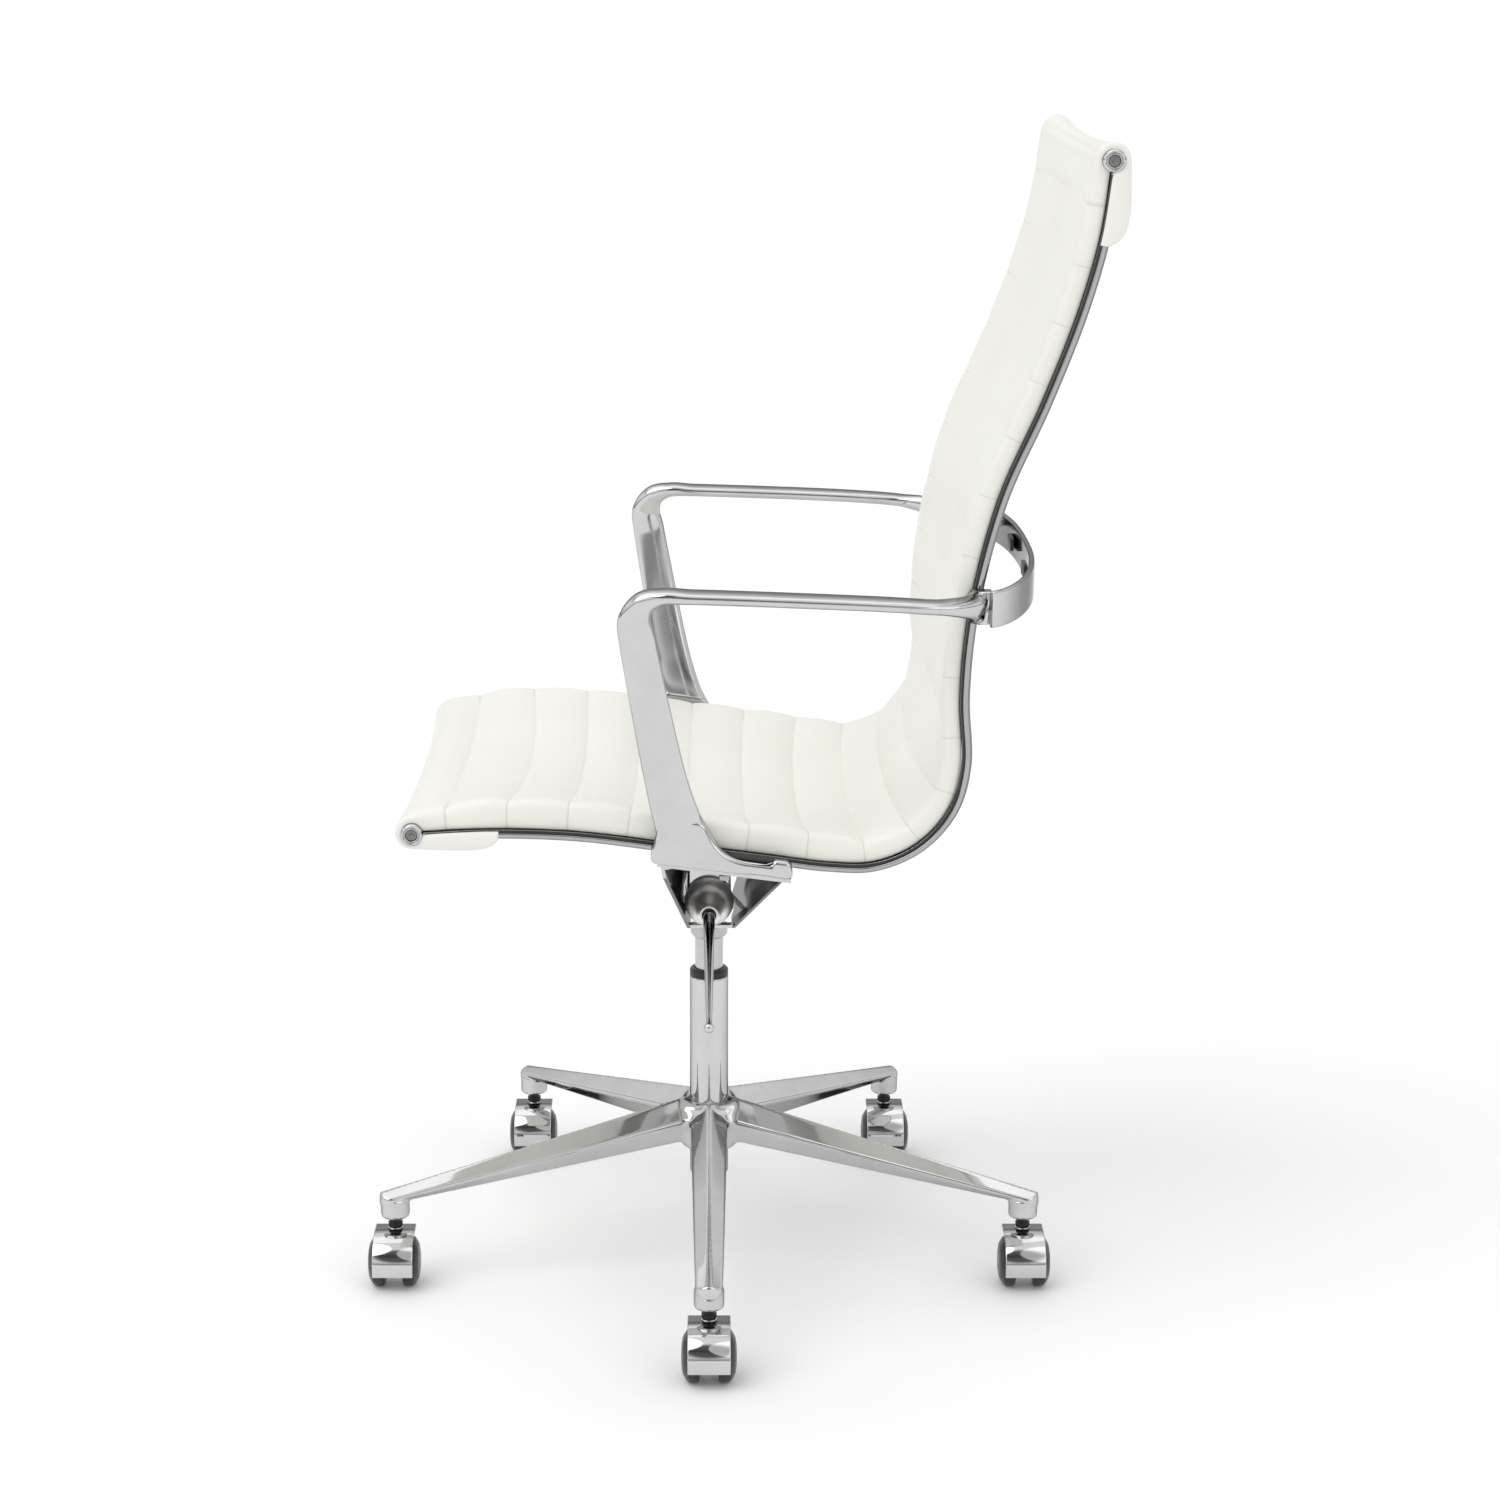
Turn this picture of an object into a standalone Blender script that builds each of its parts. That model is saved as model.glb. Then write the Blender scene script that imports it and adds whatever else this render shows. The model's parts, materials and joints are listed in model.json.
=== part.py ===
"""Swivel office chair: a ribbed leather sling on a chromed frame, a tilting seat, a gas lift and a five-leg base."""

import math

import bmesh
import bpy
from mathutils import Matrix, Vector

# Clearances, in metres like every length below.
GAP = 0.0003  # between pieces that touch and stay together
RUN = 0.0005  # between pieces that turn or slide on each other

# Sides on a round piece.
BIG_ROUND = 28
MID_ROUND = 20
SMALL_ROUND = 12
HUB_ROUND = 23

# Casters: twin wheels under a hood, trailing behind a swivelling stem.
CASTER_COUNT = 5
WHEEL_R = 0.024
WHEEL_W = 0.017
WHEEL_SPACE = 0.017  # between the two wheels of one caster
CASTER_TRAIL = 0.019
AXLE_R = 0.003
HOOD_CLEAR = 0.0015  # between tread and hood
HOOD_WALL = 0.0025
HOOD_W = 0.039
HOOD_FRONT_DEG = -15.0
HOOD_SHELF = 0.0065  # how far the hood's flat top reaches past the stem's axis
HOOD_WEB_W = 0.011
STEM_R = 0.0055
STEM_COLLAR_R = 0.007
STEM_COLLAR_H = 0.0045
STEM_BOSS_R = 0.0078
STEM_FOOT = 0.0365  # height of the stem's lower end
BOSS_PROUD = 0.0006

# Star base.
BASE_R = 0.322  # column axis to caster stem
LEG_CLEAR = 0.0053  # between stem collar and leg tip
TIP_R = 0.014
TIP_H = 0.028
HUB_R = 0.028
HUB_H = 0.046
HUB_RISE = 0.038  # of the hub's underside above the leg tip's
LEG_ROOT_HALF = 0.020
LEG_TIP_HALF = 0.0145
LEG_ROOT_DEPTH = 0.050
LEG_TIP_DEPTH = 0.014

# Column and gas lift.
TUBE_R = 0.019
TUBE_WALL = 0.0038
TUBE_BELOW_HUB = 0.028
TUBE_ABOVE_HUB = 0.1318
TUBE_FLOOR = 0.003
BUSHING_H = 0.0127
BUSHING_R = 0.0185
CYLINDER_R = 0.014
CYLINDER_WALL = 0.0017
CYLINDER_SHOWN = 0.0265  # bare length between bushing and collar at rest
CYLINDER_FOOT_UP = 0.034  # above the tube's floor
COLLAR_R = 0.0182
COLLAR_H = 0.0127
TAPER_H = 0.0137
TAPER_TOP_R = 0.0125
ROD_R = 0.005
PISTON_H = 0.015
PISTON_UP = 0.138  # piston underside above the tube's floor
BEARING_R = 0.012
BEARING_H = 0.005
CLIP_R = 0.009
CLIP_H = 0.0015
BUTTON_R = 0.0038
BUTTON_TRAVEL = 0.006

# Tilt mechanism, on a hollow shaft along X.
PIVOT_ABOVE_COLLAR = 0.0418
HOUSING_R = 0.0215
COVER_R = 0.0234
HOUSING_HALF = 0.0545
HOUSING_WALL = 0.005
NECK_R = 0.016
SHAFT_R = 0.0105
SHAFT_WALL = 0.002
SHAFT_HALF = 0.099
SPRING_R = 0.0136
SPRING_WIRE_R = 0.0015
SPRING_TURNS = 5
LUG_IN = 0.056
LUG_OUT = 0.062
LUG_R = 0.0185
CAP_IN = 0.0635  # inner face of the domed pivot covers
NOSE_R = 0.0125
NOSE_END = 0.114
BUSH_R = 0.0068
BUSH_H = 0.0125
LEVER_R = 0.0028
LEVER_PIVOT_X = 0.095
LEVER_REACH = 0.270
LEVER_DROP = 0.0570

# Seat and back frame.
SEAT_ABOVE_PIVOT = 0.0854  # lowest point of the rail curve
SLING_HALF = 0.2389
RAIL_W = 0.017
RAIL_D = 0.009
RAIL_STEP_W = 0.005
RAIL_STEP_D = 0.004
RAIL_PROUD = 0.0066  # of the rail's outer face beyond the leather
CROSS_TUBE_R = 0.0095
CROSS_TUBE_WALL = 0.002
CAP_R = 0.0102
CAP_D = 0.0083
PAD = 0.0185  # leather pad above the rail curve
PAD_UNDER = 0.0015
ROLL_R = 0.0165
ROLL_SKIN_IN = 0.0106
FLAP = 0.0145
FLAP_IN = 0.0100
FRONT_FLAP = 0.062
TOP_FLAP = 0.074
RAIL_STEP = 0.020  # spacing of the stations along the rail curve

# The rail curve in side view, as (Y, height above its lowest point), from the front tube to the top tube.
RAIL_POINTS = (
    (-0.2690, 0.0292), (-0.2000, 0.0326), (-0.1200, 0.0301), (-0.0400, 0.0203), (0.0500, 0.0090),
    (0.1100, 0.0014), (0.1500, 0.0018), (0.1890, 0.0190), (0.2170, 0.0515), (0.2280, 0.0920),
    (0.2255, 0.1560), (0.2320, 0.2330), (0.2560, 0.3340), (0.2930, 0.4210), (0.3225, 0.5000),
    (0.3400, 0.5650), (0.3490, 0.6301),
)

# Seat support: a trough across the seat, V-shaped from the side.
SUPPORT_WALL = 0.003
SUPPORT_PLATE = 0.004
SUPPORT_FRONT_Y = -0.047
SUPPORT_BACK_Y = 0.074
SUPPORT_FOOT_FRONT_Y = -0.0212
SUPPORT_FOOT_BACK_Y = 0.0252
SUPPORT_DROP = 0.030  # foot below the pivot
SUPPORT_UNDER_RAIL = 0.0045
SUPPORT_WING_FROM = 0.056
FLANGE_OUT = 0.0150  # beyond the rail's outer face
ARM_BOLT_R = 0.003
ARM_BOLT_HEAD_R = 0.005
ARM_BOLT_HEAD_H = 0.004
ARM_BOLT_Y = 0.014

# Armrests and back brace.
ARM_OUT = 0.0455  # bar centre beyond the rail's outer face
ARM_UP = 0.2585  # bar above the lowest point of the rail curve
BAR_HALF_W = 0.0170
BAR_HALF_H = 0.0055
BLADE_HALF_T = 0.0050
BRACE_BOW = 0.052
BRACE_H = 0.033
BRACE_T = 0.0055
BRACE_PAD = (0.034, 0.0035, 0.014)
BRACE_PAD_X = 0.072

# Worked out from the above.
HOOD_R = WHEEL_R + HOOD_CLEAR + HOOD_WALL
CASTER_TOP = WHEEL_R + HOOD_R + BOSS_PROUD + GAP
TIP_Z = CASTER_TOP + STEM_COLLAR_H + LEG_CLEAR
HUB_Z = TIP_Z + HUB_RISE
HUB_TOP = HUB_Z + HUB_H
TUBE_Z = HUB_Z - TUBE_BELOW_HUB
TUBE_FLOOR_Z = TUBE_Z + TUBE_FLOOR
TUBE_TOP = HUB_TOP + TUBE_ABOVE_HUB
BUSHING_TOP = TUBE_TOP + GAP + BUSHING_H
COLLAR_Z = BUSHING_TOP + CYLINDER_SHOWN
COLLAR_TOP = COLLAR_Z + COLLAR_H
TAPER_TOP = COLLAR_TOP + TAPER_H
CYLINDER_Z = TUBE_FLOOR_Z + CYLINDER_FOOT_UP
PIVOT_Z = COLLAR_TOP + PIVOT_ABOVE_COLLAR
SEAT_Z = PIVOT_Z + SEAT_ABOVE_PIVOT
RAIL_OUT = SLING_HALF + RAIL_PROUD
RAIL_IN = RAIL_OUT - RAIL_W
SIDES = (("left", 1), ("right", -1))

WORLD = {}


def clear_scene():
    for obj in list(bpy.data.objects):
        bpy.data.objects.remove(obj, do_unlink=True)


def material(name, color, roughness, metallic):
    mat = bpy.data.materials.new(name)
    mat.use_nodes = True
    shader = mat.node_tree.nodes["Principled BSDF"]
    shader.inputs["Base Color"].default_value = (*color, 1.0)
    shader.inputs["Roughness"].default_value = roughness
    shader.inputs["Metallic"].default_value = metallic
    mat.diffuse_color = (*color, 1.0)
    return mat


def empty(name, world, parent=None):
    obj = bpy.data.objects.new(name, None)
    obj.empty_display_size = 0.02
    bpy.context.scene.collection.objects.link(obj)
    WORLD[name] = Vector(world)
    obj.parent = parent
    obj.location = WORLD[name] - (WORLD[parent.name] if parent else Vector())
    return obj


def mesh_object(name, mesh, parent, origin, cutter=False):
    """An object whose mesh is given about origin, a world point."""
    obj = bpy.data.objects.new(name, mesh)
    bpy.context.scene.collection.objects.link(obj)
    obj.parent = parent
    obj.location = Vector(origin) - WORLD[parent.name]
    if cutter:
        obj.hide_render = True
        obj.display_type = "WIRE"
    return obj


def solid(name, bm, mat, parent, origin=None, cutter=False):
    """Turns bmesh geometry in world coordinates into an object with its origin on its parent's axis."""
    origin = WORLD[parent.name] if origin is None else Vector(origin)
    if cutter:
        bmesh.ops.triangulate(bm, faces=bm.faces[:])
    bmesh.ops.recalc_face_normals(bm, faces=bm.faces[:])
    bm.transform(Matrix.Translation(-origin))
    mesh = bpy.data.meshes.new(name)
    bm.to_mesh(mesh)
    bm.free()
    mesh.materials.append(mat)
    mesh.shade_smooth()
    mesh.set_sharp_from_angle(angle=math.radians(32))
    return mesh_object(name, mesh, parent, origin, cutter)


def boolean(obj, operation, other):
    modifier = obj.modifiers.new(f"{operation.lower()} {other.name}"[:60], "BOOLEAN")
    modifier.operation = operation
    modifier.object = other


def skin(rings, closed_path=False):
    """A bmesh skinned over rings of points; the first and last rings are filled unless the path is closed."""
    bm = bmesh.new()
    rows = [[bm.verts.new(point) for point in ring] for ring in rings]
    pairs = list(zip(rows, rows[1:]))
    if closed_path:
        pairs.append((rows[-1], rows[0]))
    else:
        bm.faces.new(rows[0])
        bm.faces.new(rows[-1])
    for first, second in pairs:
        for i in range(len(first)):
            j = (i + 1) % len(first)
            bm.faces.new((first[i], first[j], second[j], second[i]))
    return bm


def frame_point(axis, centre, along, radius, angle):
    """The point at a distance along an axis through centre, at a radius and an angle round it."""
    across = radius * math.cos(angle), radius * math.sin(angle)
    local = {"X": (along, *across), "Y": (across[0], along, across[1]), "Z": (*across, along)}[axis]
    return Vector(centre) + Vector(local)


def turned(profile, axis="Z", centre=(0, 0, 0), segments=MID_ROUND, phase=0.0):
    """A turned solid. Its profile is (radius, place along the axis); a radius of 0 at both ends closes it there."""
    angles = [2 * math.pi * (i + phase) / segments for i in range(segments)]
    bm = bmesh.new()
    rows = []
    for radius, along in profile:
        if radius == 0:
            rows.append([bm.verts.new(frame_point(axis, centre, along, 0, 0))])
        else:
            rows.append([bm.verts.new(frame_point(axis, centre, along, radius, a)) for a in angles])
    pairs = list(zip(rows, rows[1:]))
    if len(rows[0]) > 1:
        pairs.append((rows[-1], rows[0]))
    for first, second in pairs:
        for i in range(segments):
            j = (i + 1) % segments
            corners = [first[i % len(first)], first[j % len(first)], second[j % len(second)], second[i % len(second)]]
            bm.faces.new(list(dict.fromkeys(corners)))
    return bm


def disc_profile(radius, low, high):
    return [(0, low), (radius, low), (radius, high), (0, high)]


def ring_profile(inner, outer, low, high):
    return [(inner, low), (outer, low), (outer, high), (inner, high)]


def prism(outline, axis, low, high):
    """A closed outline pushed along an axis: (X, Z) for Y, (Y, Z) for X, (X, Y) for Z."""
    def at(point, place):
        return {"X": (place, *point), "Y": (point[0], place, point[1]), "Z": (*point, place)}[axis]
    return skin([[at(point, low) for point in outline], [at(point, high) for point in outline]])


def block(low, high):
    return prism([(low[0], low[1]), (high[0], low[1]), (high[0], high[1]), (low[0], high[1])], "Z", low[2], high[2])


def arc(centre, radius, start_deg, end_deg, steps):
    turns = [math.radians(start_deg + (end_deg - start_deg) * i / steps) for i in range(steps + 1)]
    return [(centre[0] + radius * math.cos(t), centre[1] + radius * math.sin(t)) for t in turns]


def spline(points, per_span):
    """Points on a smooth curve through the given points (centripetal Catmull-Rom)."""
    points = [Vector(p) for p in points]
    points = [2 * points[0] - points[1], *points, 2 * points[-1] - points[-2]]
    curve = []
    for p0, p1, p2, p3 in zip(points, points[1:], points[2:], points[3:]):
        t1 = math.sqrt((p1 - p0).length)
        t2 = t1 + math.sqrt((p2 - p1).length)
        t3 = t2 + math.sqrt((p3 - p2).length)
        for i in range(per_span):
            t = t1 + (t2 - t1) * i / per_span
            a1 = p0 * ((t1 - t) / t1) + p1 * (t / t1)
            a2 = p1 * ((t2 - t) / (t2 - t1)) + p2 * ((t - t1) / (t2 - t1))
            a3 = p2 * ((t3 - t) / (t3 - t2)) + p3 * ((t - t2) / (t3 - t2))
            b1 = a1 * ((t2 - t) / t2) + a2 * (t / t2)
            b2 = a2 * ((t3 - t) / (t3 - t1)) + a3 * ((t - t1) / (t3 - t1))
            curve.append(b1 * ((t2 - t) / (t2 - t1)) + b2 * ((t - t1) / (t2 - t1)))
    return [*curve, points[-2]]


def in_step(values, per_span):
    """Values blended evenly between the given ones, in step with spline's points."""
    blended = []
    for a, b in zip(values, values[1:]):
        blended += [a.lerp(b, i / per_span) for i in range(per_span)]
    return [*blended, values[-1]]


def evenly(curve, spacing):
    """Stations along a curve of points, at about this spacing."""
    lengths = [0.0]
    for a, b in zip(curve, curve[1:]):
        lengths.append(lengths[-1] + (b - a).length)
    count = round(lengths[-1] / spacing)
    stations = []
    k = 0
    for i in range(count + 1):
        want = lengths[-1] * i / count
        while k < len(curve) - 2 and lengths[k + 1] < want:
            k += 1
        share = (want - lengths[k]) / (lengths[k + 1] - lengths[k])
        stations.append(curve[k].lerp(curve[k + 1], share))
    return stations


def rail_stations():
    """[(Y-Z point, unit tangent, unit normal towards the sitter, length so far)] along the rail curve."""
    curve = spline([(y, SEAT_Z + z) for y, z in RAIL_POINTS], 24)
    points = evenly(curve, RAIL_STEP)
    stations = []
    run = 0.0
    for i, point in enumerate(points):
        tangent = (points[min(i + 1, len(points) - 1)] - points[max(i - 1, 0)]).normalized()
        if i:
            run += (point - points[i - 1]).length
        stations.append((point, tangent, Vector((-tangent.y, tangent.x)), run))
    return stations


def rail_at(stations, y=None, z=None):
    """The rail curve's point at this Y on the seat, or at this Z on the back."""
    wanted, index = (y, 0) if z is None else (z, 1)
    pairs = zip(stations, stations[1:]) if z is None else zip(stations[::-1], stations[-2::-1])
    for (a, *_), (b, *_) in pairs:
        if min(a[index], b[index]) <= wanted <= max(a[index], b[index]):
            return a.lerp(b, (wanted - a[index]) / (b[index] - a[index]))
    raise ValueError("no rail at that place")


def stem_points():
    turns = [2 * math.pi * i / CASTER_COUNT for i in range(CASTER_COUNT)]
    return [(BASE_R * math.cos(t), BASE_R * math.sin(t)) for t in turns], turns


def leg_ring(turn, reach):
    """The leg's cross-section at this distance from the column: a ridge on top, sides that slope under."""
    share = reach / BASE_R
    half = LEG_ROOT_HALF + (LEG_TIP_HALF - LEG_ROOT_HALF) * share
    depth = LEG_ROOT_DEPTH + (LEG_TIP_DEPTH - LEG_ROOT_DEPTH) * share
    ridge_root = HUB_TOP + 0.0125
    ridge_tip = TIP_Z + TIP_H + 0.001
    top = ridge_root + (ridge_tip - ridge_root) * share
    section = (
        (0.0, 0.0), (0.58, -0.12), (0.93, -0.30), (1.0, -0.48), (0.72, -0.78), (0.36, -0.97),
        (-0.36, -0.97), (-0.72, -0.78), (-1.0, -0.48), (-0.93, -0.30), (-0.58, -0.12),
    )
    out = Vector((math.cos(turn), math.sin(turn), 0))
    side = Vector((-out.y, out.x, 0))
    return [out * reach + side * half * s + Vector((0, 0, top + depth * d)) for s, d in section]


def make_base(mats, root):
    spots, turns = stem_points()
    profile = [(0, HUB_Z), (HUB_R - 0.003, HUB_Z), (HUB_R, HUB_Z + 0.003), (HUB_R, HUB_TOP - 0.006),
               (HUB_R - 0.004, HUB_TOP), (0, HUB_TOP)]
    star = solid("star_base", turned(profile, segments=HUB_ROUND, phase=0.37), mats["chrome"], root)
    bores = bmesh.new()
    for (x, y), turn in zip(spots, turns):
        reaches = [0.012, 0.06, 0.15, 0.24, BASE_R - 0.004]
        leg = solid("leg_guide", skin([leg_ring(turn, r) for r in reaches]), mats["chrome"], root, cutter=True)
        boss_profile = [(0, TIP_Z), (TIP_R - 0.0035, TIP_Z), (TIP_R - 0.0008, TIP_Z + 0.0025), (TIP_R, TIP_Z + 0.007),
                        (TIP_R, TIP_Z + TIP_H - 0.003), (TIP_R - 0.003, TIP_Z + TIP_H), (0, TIP_Z + TIP_H)]
        boss = solid("tip_guide", turned(boss_profile, centre=(x, y, 0), phase=0.37), mats["chrome"], root, cutter=True)
        boolean(star, "UNION", leg)
        boolean(star, "UNION", boss)
        bore = turned(disc_profile(STEM_R + RUN, TIP_Z - 0.01, TIP_Z + TIP_H - 0.006), centre=(x, y, 0), segments=SMALL_ROUND)
        add_geometry(bores, bore)
    add_geometry(bores, turned(disc_profile(TUBE_R + GAP, HUB_Z - 0.02, HUB_TOP + 0.05), segments=BIG_ROUND))
    boolean(star, "DIFFERENCE", solid("bore_cutter", bores, mats["chrome"], root, cutter=True))


def add_geometry(target, source):
    mesh = bpy.data.meshes.new("joined")
    source.to_mesh(mesh)
    source.free()
    target.from_mesh(mesh)
    bpy.data.meshes.remove(mesh)


def make_column(mats, root, rod_axis, upper):
    bore = TUBE_R - TUBE_WALL
    tube = [(ROD_R + RUN, TUBE_Z), (TUBE_R, TUBE_Z), (TUBE_R, TUBE_TOP), (bore, TUBE_TOP),
            (bore, TUBE_FLOOR_Z), (ROD_R + RUN, TUBE_FLOOR_Z)]
    solid("column_tube", turned(tube, segments=BIG_ROUND), mats["chrome"], root)
    low = TUBE_TOP + GAP
    ring = [(CYLINDER_R + RUN, low), (BUSHING_R, low), (BUSHING_R, BUSHING_TOP - 0.0015),
            (BUSHING_R - 0.0015, BUSHING_TOP), (CYLINDER_R + RUN, BUSHING_TOP)]
    solid("column_bushing", turned(ring, segments=BIG_ROUND), mats["plastic"], root)

    bearing = ring_profile(ROD_R + GAP, BEARING_R, TUBE_FLOOR_Z + RUN, TUBE_FLOOR_Z + RUN + BEARING_H)
    solid("thrust_bearing", turned(bearing), mats["steel"], rod_axis)
    clip_top = TUBE_Z - RUN
    clip = ring_profile(ROD_R + GAP, CLIP_R, clip_top - CLIP_H, clip_top)
    solid("retaining_clip", turned(clip, segments=SMALL_ROUND), mats["steel"], rod_axis)
    piston_z = TUBE_FLOOR_Z + PISTON_UP
    piston_r = CYLINDER_R - CYLINDER_WALL - RUN
    rod = [(0, TUBE_Z - 0.005), (ROD_R, TUBE_Z - 0.005), (ROD_R, piston_z), (piston_r, piston_z),
           (piston_r, piston_z + PISTON_H), (0, piston_z + PISTON_H)]
    solid("piston_rod", turned(rod), mats["steel"], rod_axis)

    inner = CYLINDER_R - CYLINDER_WALL
    cavity_top = COLLAR_Z
    recess_z = TAPER_TOP - BUTTON_TRAVEL - 0.001
    cylinder = [(ROD_R + RUN, CYLINDER_Z), (CYLINDER_R, CYLINDER_Z), (CYLINDER_R, COLLAR_TOP), (TAPER_TOP_R, TAPER_TOP),
                (BUTTON_R + RUN, TAPER_TOP), (BUTTON_R + RUN, recess_z), (0, recess_z)]
    inside = [(0, cavity_top), (inner, cavity_top), (inner, CYLINDER_Z + 0.004), (ROD_R + RUN, CYLINDER_Z + 0.004)]
    outer = solid("gas_cylinder", turned([(0, CYLINDER_Z), *cylinder[1:]], segments=BIG_ROUND), mats["satin"], upper)
    hollow = [*inside, (ROD_R + RUN, CYLINDER_Z - 0.002), (0, CYLINDER_Z - 0.002)]
    cutter = solid("cylinder_cutter", turned(hollow, segments=BIG_ROUND), mats["satin"], upper, cutter=True)
    boolean(outer, "DIFFERENCE", cutter)
    collar = [(CYLINDER_R + GAP, COLLAR_Z), (COLLAR_R - 0.0015, COLLAR_Z), (COLLAR_R, COLLAR_Z + 0.002),
              (COLLAR_R, COLLAR_TOP), (CYLINDER_R + GAP, COLLAR_TOP)]
    solid("column_collar", turned(collar, segments=BIG_ROUND), mats["grey"], upper)


def make_housing(mats, upper):
    """The tilt housing: a drum along X on a neck that takes the gas lift's taper, with the shaft through it."""
    centre = (0, 0, PIVOT_Z)
    drum = solid("tilt_housing", turned(disc_profile(HOUSING_R, -HOUSING_HALF, HOUSING_HALF), "X", centre, MID_ROUND),
                 mats["satin"], upper)
    neck_z = COLLAR_TOP + GAP
    neck = solid("neck_guide", turned(disc_profile(NECK_R, neck_z, PIVOT_Z - 0.006), segments=BIG_ROUND),
                 mats["satin"], upper, cutter=True)
    boolean(drum, "UNION", neck)
    end = HOUSING_HALF - HOUSING_WALL
    cavity_r = HOUSING_R - HOUSING_WALL
    shaft_hole = SHAFT_R + GAP
    cavity = [(0, -HOUSING_HALF - 0.01), (shaft_hole, -HOUSING_HALF - 0.01), (shaft_hole, -end), (cavity_r, -end),
              (cavity_r, end), (shaft_hole, end), (shaft_hole, HOUSING_HALF + 0.01), (0, HOUSING_HALF + 0.01)]
    inside = solid("cavity_cutter", turned(cavity, "X", centre, MID_ROUND), mats["satin"], upper, cutter=True)
    boolean(drum, "DIFFERENCE", inside)
    slope = (CYLINDER_R - TAPER_TOP_R) / TAPER_H
    below = 0.003
    taper = [(0, COLLAR_TOP - below), (CYLINDER_R + GAP + slope * below, COLLAR_TOP - below),
             (TAPER_TOP_R + GAP, TAPER_TOP + GAP), (BUTTON_R + RUN, TAPER_TOP + GAP),
             (BUTTON_R + RUN, PIVOT_Z - SHAFT_R - 0.001), (0, PIVOT_Z - SHAFT_R - 0.001)]
    boolean(drum, "DIFFERENCE", solid("taper_cutter", turned(taper, segments=BIG_ROUND), mats["satin"], upper, cutter=True))

    shaft = solid("tilt_shaft", turned(ring_profile(SHAFT_R - SHAFT_WALL, SHAFT_R, -SHAFT_HALF, SHAFT_HALF), "X",
                                       centre, MID_ROUND), mats["steel"], upper)
    slot = turned(disc_profile(BUTTON_R + RUN, PIVOT_Z - SHAFT_R - 0.004, PIVOT_Z - 0.004), segments=SMALL_ROUND)
    boolean(shaft, "DIFFERENCE", solid("button_slot_cutter", slot, mats["steel"], upper, cutter=True))

    from_x = -end + 0.003
    to_x = -BUTTON_R - 0.006
    steps = 10 * SPRING_TURNS
    rings = []
    for i in range(steps + 1):
        turn = 2 * math.pi * SPRING_TURNS * i / steps
        at = frame_point("X", centre, from_x + (to_x - from_x) * i / steps, SPRING_R, turn)
        out = (at - Vector((at.x, 0, PIVOT_Z))).normalized()
        wire = [2 * math.pi * k / 5 for k in range(5)]
        rings.append([at + SPRING_WIRE_R * (out * math.cos(w) + Vector((1, 0, 0)) * math.sin(w)) for w in wire])
    solid("torsion_spring", skin(rings), mats["steel"], upper)

    dome = [(COVER_R - 0.001, CAP_IN), (COVER_R, CAP_IN + 0.002), (COVER_R - 0.001, CAP_IN + 0.008),
            (COVER_R - 0.005, CAP_IN + 0.0145), (NOSE_R + 0.001, CAP_IN + 0.019), (NOSE_R, CAP_IN + 0.025),
            (NOSE_R, NOSE_END - 0.016), (NOSE_R - 0.001, NOSE_END - 0.008), (NOSE_R - 0.0035, NOSE_END - 0.002)]
    open_cap = [(shaft_hole, CAP_IN), *dome, (BUSH_R + GAP, NOSE_END), (BUSH_R + GAP, SHAFT_HALF + GAP),
                (shaft_hole, SHAFT_HALF + GAP)]
    solid("pivot_cover_left", turned(open_cap, "X", centre, MID_ROUND), mats["satin"], upper)
    closed = [(0, SHAFT_HALF + GAP), (shaft_hole, SHAFT_HALF + GAP), (shaft_hole, CAP_IN), *dome, (0, NOSE_END)]
    closed_cap = [(r, -x) for r, x in closed]
    solid("pivot_cover_right", turned(closed_cap, "X", centre, MID_ROUND), mats["satin"], upper)
    bush = ring_profile(LEVER_R + 0.0022, BUSH_R, NOSE_END - BUSH_H, NOSE_END + 0.001)
    solid("lever_bush", turned(bush, "X", centre, SMALL_ROUND), mats["plastic"], upper)


def make_lever(mats, lever_axis, valve_axis):
    """The lever's straight inner arm lies in the hollow shaft; its bent outer arm tapers to a small ball."""
    outer_start = NOSE_END + 0.0035
    route = spline([(outer_start, 0, PIVOT_Z), (outer_start + 0.02, 0, PIVOT_Z - 0.002),
                    (outer_start + 0.06, 0, PIVOT_Z - 0.0165), (LEVER_REACH, 0, PIVOT_Z - LEVER_DROP)], 5)
    stations = [(Vector((-0.004, 0, PIVOT_Z)), LEVER_R), (Vector((0.09, 0, PIVOT_Z)), LEVER_R),
                (Vector((NOSE_END + 0.002, 0, PIVOT_Z)), LEVER_R)]
    for i, point in enumerate(route):
        share = i / (len(route) - 1)
        stations.append((point, 0.0050 * (1 - share) + 0.0023 * share))
    tip, along = route[-1], (route[-1] - route[-2]).normalized()
    ball = 0.0042
    for turn in (-50, -20, 10, 45, 70):
        angle = math.radians(turn)
        stations.append((tip + along * ball * (1 + math.sin(angle)), ball * math.cos(angle)))
    rings = []
    for i, (point, radius) in enumerate(stations):
        ahead = stations[min(i + 1, len(stations) - 1)][0] - stations[max(i - 1, 0)][0]
        across = Vector((0, 1, 0))
        up = ahead.normalized().cross(across)
        turns = [2 * math.pi * k / 10 for k in range(10)]
        rings.append([point + radius * (across * math.cos(t) + up * math.sin(t)) for t in turns])
    solid("release_lever", skin(rings), mats["chrome"], lever_axis)
    low = TAPER_TOP - 0.0008
    high = PIVOT_Z - LEVER_R - 0.001
    solid("valve_button", turned(disc_profile(BUTTON_R, low, high), segments=SMALL_ROUND), mats["steel"], valve_axis)


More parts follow.
